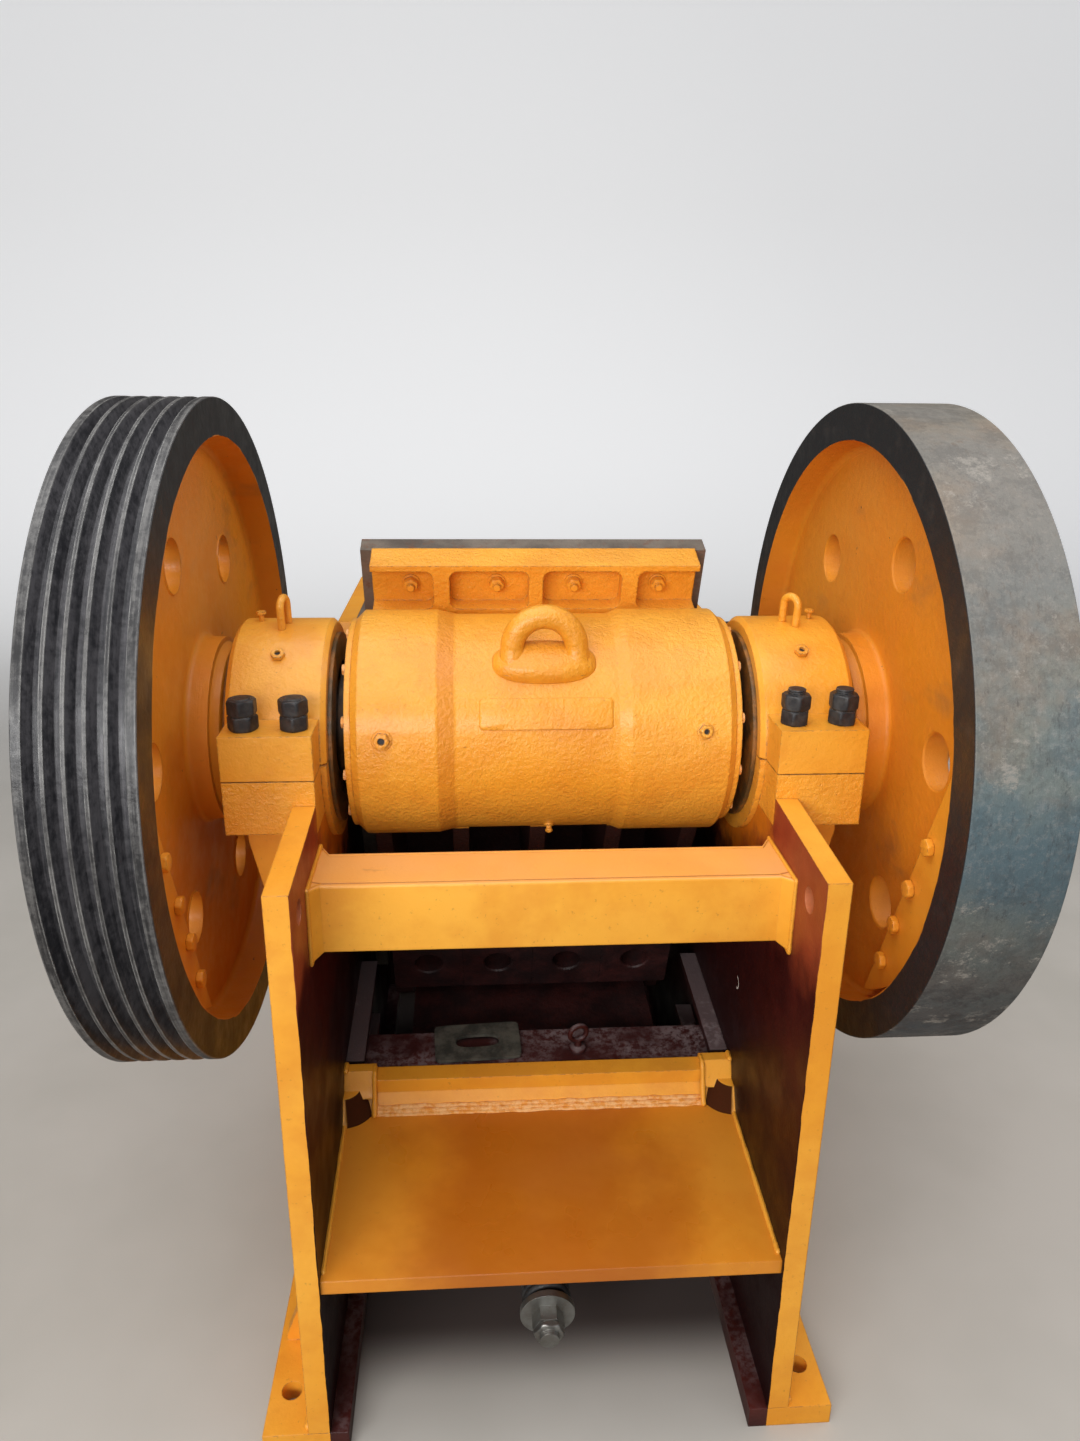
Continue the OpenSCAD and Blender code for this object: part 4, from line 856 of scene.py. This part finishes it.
def jaw_rear_block(paint):
    """Rear of the jaw's toggle block, over the toggle: four cells side by side, each a block with a round hollow
    in its back, drawn as closed lines from the hollow's bottom round to the block's far side."""
    shapes, hub = [], 593  # mm from the eccentric down to the middle of the block
    outer = rounded_box_line(73, 69, 40.0, 96)
    inner, lip = (rounded_box_line(r, r, 2.0, 96) for r in (28, 31))
    zero = (0 * outer[0], 0 * outer[1])
    rows = [(*zero, -30, 8), (*inner, -30, 8), (*inner, -87, 8), (*lip, -90, 8), (*outer, -90, 0), (*outer, 8, 0),
            (*zero, 8, 0)]
    for x in (-217.5, -72.5, 72.5, 217.5):
        shapes.append(grid(np.stack([jaw_at(x + u, along, v + high - hub) for u, v, along, high in rows])))
    piece("jaw_rear_block", shapes, paint, "swing_jaw", smooth=30)


def beam_weld(paint):
    """Lower three passes of the long weld in the corner between toggle beam and shelf."""
    shapes = []
    for t in (0.66, 0.84, 1.0):
        along, across = -148 - 28 * t, 8 + 28 * (1 - t)
        path = toggle_at(np.linspace(-310, 310, 40), along + rng.normal(0, 0.6, 40), across + rng.normal(0, 0.6, 40))
        shapes.append(bead(path, 4.0 * MM))
    piece("toggle_beam_weld", shapes, paint, "frame")


def flared_beam(paint):
    """Top beam: a rectangle with rounded corners and two seam lines in its upper face, carried along X, and
    opening out at both ends into mitred welds."""
    a = np.linspace(0, np.pi / 2, 5)

    def section(x, rear, front, low, high, r=3.5):
        corners = [(front - r, high - r, 0), (rear + r, high - r, 1), (rear + r, low + r, 2), (front - r, low + r, 3)]
        line = [(y + r * np.cos(a + k * np.pi / 2), z + r * np.sin(a + k * np.pi / 2)) for y, z, k in corners]
        seam = [(front - 7, 0), (front - 8, -1.3), (front - 9.5, -1.3), (front - 10.5, 0),
                (rear + 12, 0), (rear + 11, -1.5), (rear + 9, -1.5), (rear + 8, 0)]
        ys = np.concatenate([line[0][0], [y for y, _ in seam], *[c[0] for c in line[1:]]])
        zs = np.concatenate([line[0][1], [high + z for _, z in seam], *[c[1] for c in line[1:]]])
        return from_shaft(x, ys, zs)
    ends = [(364.9, -400, -245, -238, -115), (362, -399, -246, -237, -116), (347, -379, -269, -231, -119)]
    rows = [section(-x, *size) for x, *size in ends] + [section(x, *size) for x, *size in ends[::-1]]
    caps = [np.broadcast_to(rows[k].mean(0), rows[k].shape) for k in (0, -1)]
    piece("rear_top_beam_with_flares", [grid(np.stack([caps[0], *rows, caps[1]]))], paint, "frame",
          ("rear_top_beam",), smooth=30)


def weld(size, *spots, place=from_shaft, ripple=7):
    """Weld bead along spots; all in mm."""
    return bead([place(*spot) for spot in spots], size * MM, ripple * MM)


def ear_welds(paint):
    """Thin beads over both ears of the toggle beam and down both sides of the shelf."""
    shapes = []
    ear = [(-122, 76), (-126, 79), (-141, 79), (-148, 72), (-157, 52), (-164, 36), (-176, 16), (-184, 9)]
    for side in (-1, 1):
        for size, x, line in ((4.5, 309, ear), (5, 362, [(-118, 83), (-146, 83)]), (4, 362, [(-190, 9), (-504, 9)])):
            shapes.append(weld(size, *((side * x, along, high) for along, high in line), place=toggle_at, ripple=6))
    piece("toggle_beam_ear_welds", shapes, paint, "frame")


def frame_welds(paint):
    """Fillet welds of the frame: beam ends, feet, gussets and brackets."""
    shapes = []
    front_y = (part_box("side_plate_right")[1][1] - shaft[1]) / MM
    beam = ((-247, -115), (-400, -115), (-400, -238), (-250, -238))
    for s in (-1, 1):
        outside = s * 403
        shapes.append(weld(3.2, *((s * 363, y, z) for y, z in beam)))
        shapes.append(weld(6, (outside, -512, -1049), (outside, front_y - 6, -1049)))
        for y in (-342.3, 160, 662.3):
            shapes += [weld(4.5, (outside, y + edge, -1045), (outside, y + edge, -902)) for edge in (-2, 27)]
        shapes += [weld(5, (outside, y, -417), (outside, y, -116)) for y in (-233, -205, 205, 233)]
    piece("frame_welds", shapes, paint, "frame")


def wall_welds(paint):
    """Fillet welds of the front wall: down both side plates, under and over its ribs and along the uprights."""
    face = (wall_face - shaft[1]) / MM
    low, rise, ribs = -1050.0, 281.25, 5
    lines = [(6, (s * 362, face + 3, low + 28), (s * 362, face + 3, 74)) for s in (-1, 1)]
    for i in range(ribs):
        levels = [low + i * rise + 26] * (i < ribs - 1) + [low + i * rise - 1] * (i > 0)
        lines += [(5, (-358, face + 2, level), (358, face + 2, level)) for level in levels]
    for i in range(ribs - 1):
        for x in (-182.5, 0, 182.5):
            lines += [(4.5, (x + edge, face + 2, low + i * rise + 30), (x + edge, face + 2, low + (i + 1) * rise - 5))
                      for edge in (-14, 14)]
    piece("wall_welds", [weld(size, *spots, ripple=8) for size, *spots in lines], paint, "frame")


def plate_bolts(paint):
    """Nuts of the fixed plate on the front wall, and of the cheek plates on the side plates."""
    shapes = []
    for x in (-91, 91):
        for z in (-616, -53):
            spot = np.array((shaft[0] + x * MM, wall_face, shaft[2] + z * MM))
            shapes += nut_on_stud(20, spot, (0, 1, 0), 12, rng.uniform(0, 1), 5)
    for side in (-1, 1):
        for y, z in ((500, 20), (640, -150), (560, -450), (655, -690)):
            spot = beside(side * wall_out, y, z)
            shapes += nut_on_stud(16, spot, (side, 0, 0), 8, rng.uniform(0, 1), 4)
    piece("liner_bolts", shapes, paint, "frame")


def return_spring(paint):
    """Wire along a helix, its end turns closed up against the bracket and the washer."""
    turns, wire, coil, length = 11, 7.4, 36, 190
    t = np.linspace(0, turns, turns * 40)
    climb = np.cumsum(0.75 + 0.25 * np.clip(np.minimum(t, turns - t), 0, 1))
    along = wire + (length - 2 * wire) * (climb - climb[0]) / (climb[-1] - climb[0])
    path = toggle_at(coil * np.cos(2 * np.pi * t), -222 - along, -218 + coil * np.sin(2 * np.pi * t))
    piece("return_spring", [tube(path, wire * MM, 12)], paint, "frame", ("tension_spring",))


def rod_end(paint):
    """Lock nut and thread on the rear end of the tension rod."""
    base = toggle_at(0, -450, -218)
    shapes = [hexagon(24, 12, base, -toggle_along, 0.4), threaded(17.6, 21.5, base, -toggle_along)]
    piece("rod_lock_nut", shapes, paint, "frame")


def ring_screws(paint):
    """Six socket head screws on each locking ring of the shaft ends."""
    shapes = []
    rows = [(-4, 0), (-4, 8), (5, 8), (6, 7), (6, 4), (1, 3.6), (1, 0)]
    for side in (-1, 1):
        for angle in np.arange(6) * np.pi / 3 + 0.3:
            spot = beside(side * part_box("shaft_end_rings")[1][0], 86 * math.cos(angle), 86 * math.sin(angle))
            shapes.append(turned(rows, spot, (side, 0, 0), 24))
    piece("ring_screws", shapes, paint, "rotor")


def loose_parts(dusty, sheet):
    """Eye bolt on the adjusting block, and a slotted steel plate that lies on it."""
    foot = toggle_at(78, -76, 61)
    around = round_angles(28)[:, None]
    ring = foot + 39 * MM * toggle_up + 17 * MM * (np.cos(around) * (0.96, 0.28, 0) + np.sin(around) * toggle_up)
    collar = [(0, 0), (0, 17), (5, 17), (8, 15), (11, 8), (18, 7), (24, 5.5), (24, 0)]
    piece("eye_bolt", [turned(collar, foot, toggle_up), tube(ring, 5.2 * MM, 12, closed=True)], dusty, "frame")
    c, s = math.cos(0.05), math.sin(0.05)
    outer, slot = rounded_box_line(83, 46, 14.0, 72), rounded_box_line(42, 16, 3.0, 72)
    rows = [toggle_at(-117 + c * u - s * v, -56 + s * u + c * v, 63 + level + 0.06 * (v + 46))
            for (u, v), level in ((slot, 6), (outer, 6), (outer, 0), (slot, 0))]
    piece("slotted_plate", [grid(np.stack(rows), round_rows=True)], sheet, "frame")


add_camera()
CAST = cast_paint()
PLATE = plate_paint()
DUSTY = primer("maroon_primer_under_dust", 1.0, 0.5)
BEAM = beam_paint()
BLOCK = dark_block_paint()
FLYWHEEL = flywheel_paint()
SHEAVE = sheave_paint()
NUTS = black_paint()
TURNED = turned_steel()
WELDS = weld_paint()

wearers = (
    (side_plate_paint(), "side_plate_*"), (wall_paint(), "front_wall"), (BEAM, "rear_top_beam"),
    (PLATE, "front_ribs bearing_bracket_* rod_bracket counterweight_*"), (ear_paint(), "toggle_beam"),
    (shelf_paint(), "rear_shelf"), (foot_paint(), "foot_*"),
    (cast_paint("cast_enamel_on_bases", 1.0, True), "bearing_base_*"),
    (cast_paint("cast_enamel_on_caps", 0.45, True), "bearing_cap_*"), (NUTS, "cap_bolts_* tension_spring"),
    (CAST, "cap_fittings barrel_ring_* jaw_bolts"), (grimy_paint(), "bearing_cover_*"),
    (raw_casting(), "fixed_jaw_plate cheek_plate_* swing_jaw_plate"), (DUSTY, "guide_rail_*"),
    (primer(), "adjusting_block jaw_wedge"), (TURNED, "rear_toggle_seat tension_rod shaft_end_rings rod_pin"),
    (BLOCK, "toggle_plate jaw_toggle_seat"), (shaft_steel(), "eccentric_shaft"), (SHEAVE, "sheave_wheel"),
    (FLYWHEEL, "flywheel"), (jaw_paint(), "swing_jaw"),
)
finish_of = {name.replace("*", side): paint
             for paint, names in wearers for name in names.split() for side in ("left", "right")}
for name, made in nodes.items():
    made.data.materials.clear()
    made.data.materials.append(finish_of[name])

wheel("sheave_casting", "sheave_wheel", -1, 5, SHEAVE)
wheel("flywheel_casting", "flywheel", 1, 0, FLYWHEEL)
cap_nuts("left", NUTS, 1)
cap_nuts("right", NUTS, 8)
jaw_nuts(PLATE)
gland_bolts(WELDS)
weight_bolts(PLATE)
barrel_details(CAST, NUTS)
cap_sockets(NUTS)
jaw_rear_block(BLOCK)
flared_beam(BEAM)
beam_weld(WELDS)
ear_welds(PLATE)
frame_welds(PLATE)
wall_welds(PLATE)
plate_bolts(NUTS)
return_spring(NUTS)
rod_end(TURNED)
ring_screws(TURNED)
loose_parts(DUSTY, sheet_metal())


# Floor, light and background

def add_floor():
    """Floor that sweeps up into a wall far behind; pale to the camera, with a painted shadow under the machine, and
    darker to the light that it gives back."""
    bend = np.linspace(0, np.pi / 2, 24)
    line = [(-12.0, 0.0), *((4.0 + 3 * math.sin(a), 3 - 3 * math.cos(a)) for a in bend), (7.0, 9.0)]
    points = np.array([[(x, y, z) for x in (-14.0, 14.0)] for y, z in line])
    mesh = new_mesh("floor", *grid(points, round_columns=False))
    mesh.shade_smooth()
    floor = add_object("floor", mesh)
    f = Finish("pale_floor")
    # painted shadow: darker colour on the floor under the machine
    shade = f.times(f.step(f.size(f.axis(0)), 0.38, 0.47, 1, 0),
                    f.times(f.step(f.axis(1), -0.6, -0.45), f.step(f.axis(1), 0.95, 1.15, 1, 0)))
    colour = f.layers(
        (0.44, 0.415, 0.37), (f.blots((1.2, 4, 0.6), 0.3, 0.7), (0.5, 0.47, 0.425)),
        (f.step(f.axis(1), 1.5, 5.5), (0.93, 0.925, 0.91)), (shade, (0.06, 0.045, 0.04)))
    seen = f.node("LightPath").outputs["Is Camera Ray"]
    f.put(f.shader.inputs["Emission Color"], (0.93, 0.94, 0.96))
    f.put(f.shader.inputs["Emission Strength"], f.times(seen, f.step(f.axis(1), 2.5, 6.5, 0, 0.34)))
    mesh.materials.append(f.finish(f.mix(seen, (0.24, 0.22, 0.19), colour), 0.8))


def add_light(name, place, target, size, power):
    """Flat lamp of a size in metres and a power in watts, turned from its place towards a target."""
    data = bpy.data.lights.new(name, "AREA")
    data.shape = "RECTANGLE"
    data.size, data.size_y = size
    data.energy = power
    lamp = add_object(name, data)
    lamp.location = place
    lamp.rotation_euler = (Vector(target) - Vector(place)).to_track_quat("-Z", "Y").to_euler()


add_floor()
world = bpy.data.worlds.new("studio")
world.use_nodes = True
background = world.node_tree.nodes["Background"]
background.inputs["Color"].default_value = (0.93, 0.95, 1.0, 1)
background.inputs["Strength"].default_value = 0.4
bpy.context.scene.world = world
add_light("roof", (-0.6, -0.8, 4.2), (0, 0, 0.8), (4.5, 3.5), 102)
add_light("door", (-1.7, -4.2, 2.3), (0, 0, 0.8), (3.6, 1.2), 150)
add_light("window", (3.6, 0.4, 2.8), (-0.6, -0.2, 1.1), (2.5, 2.0), 45)
bpy.context.scene.view_settings.view_transform = "Standard"
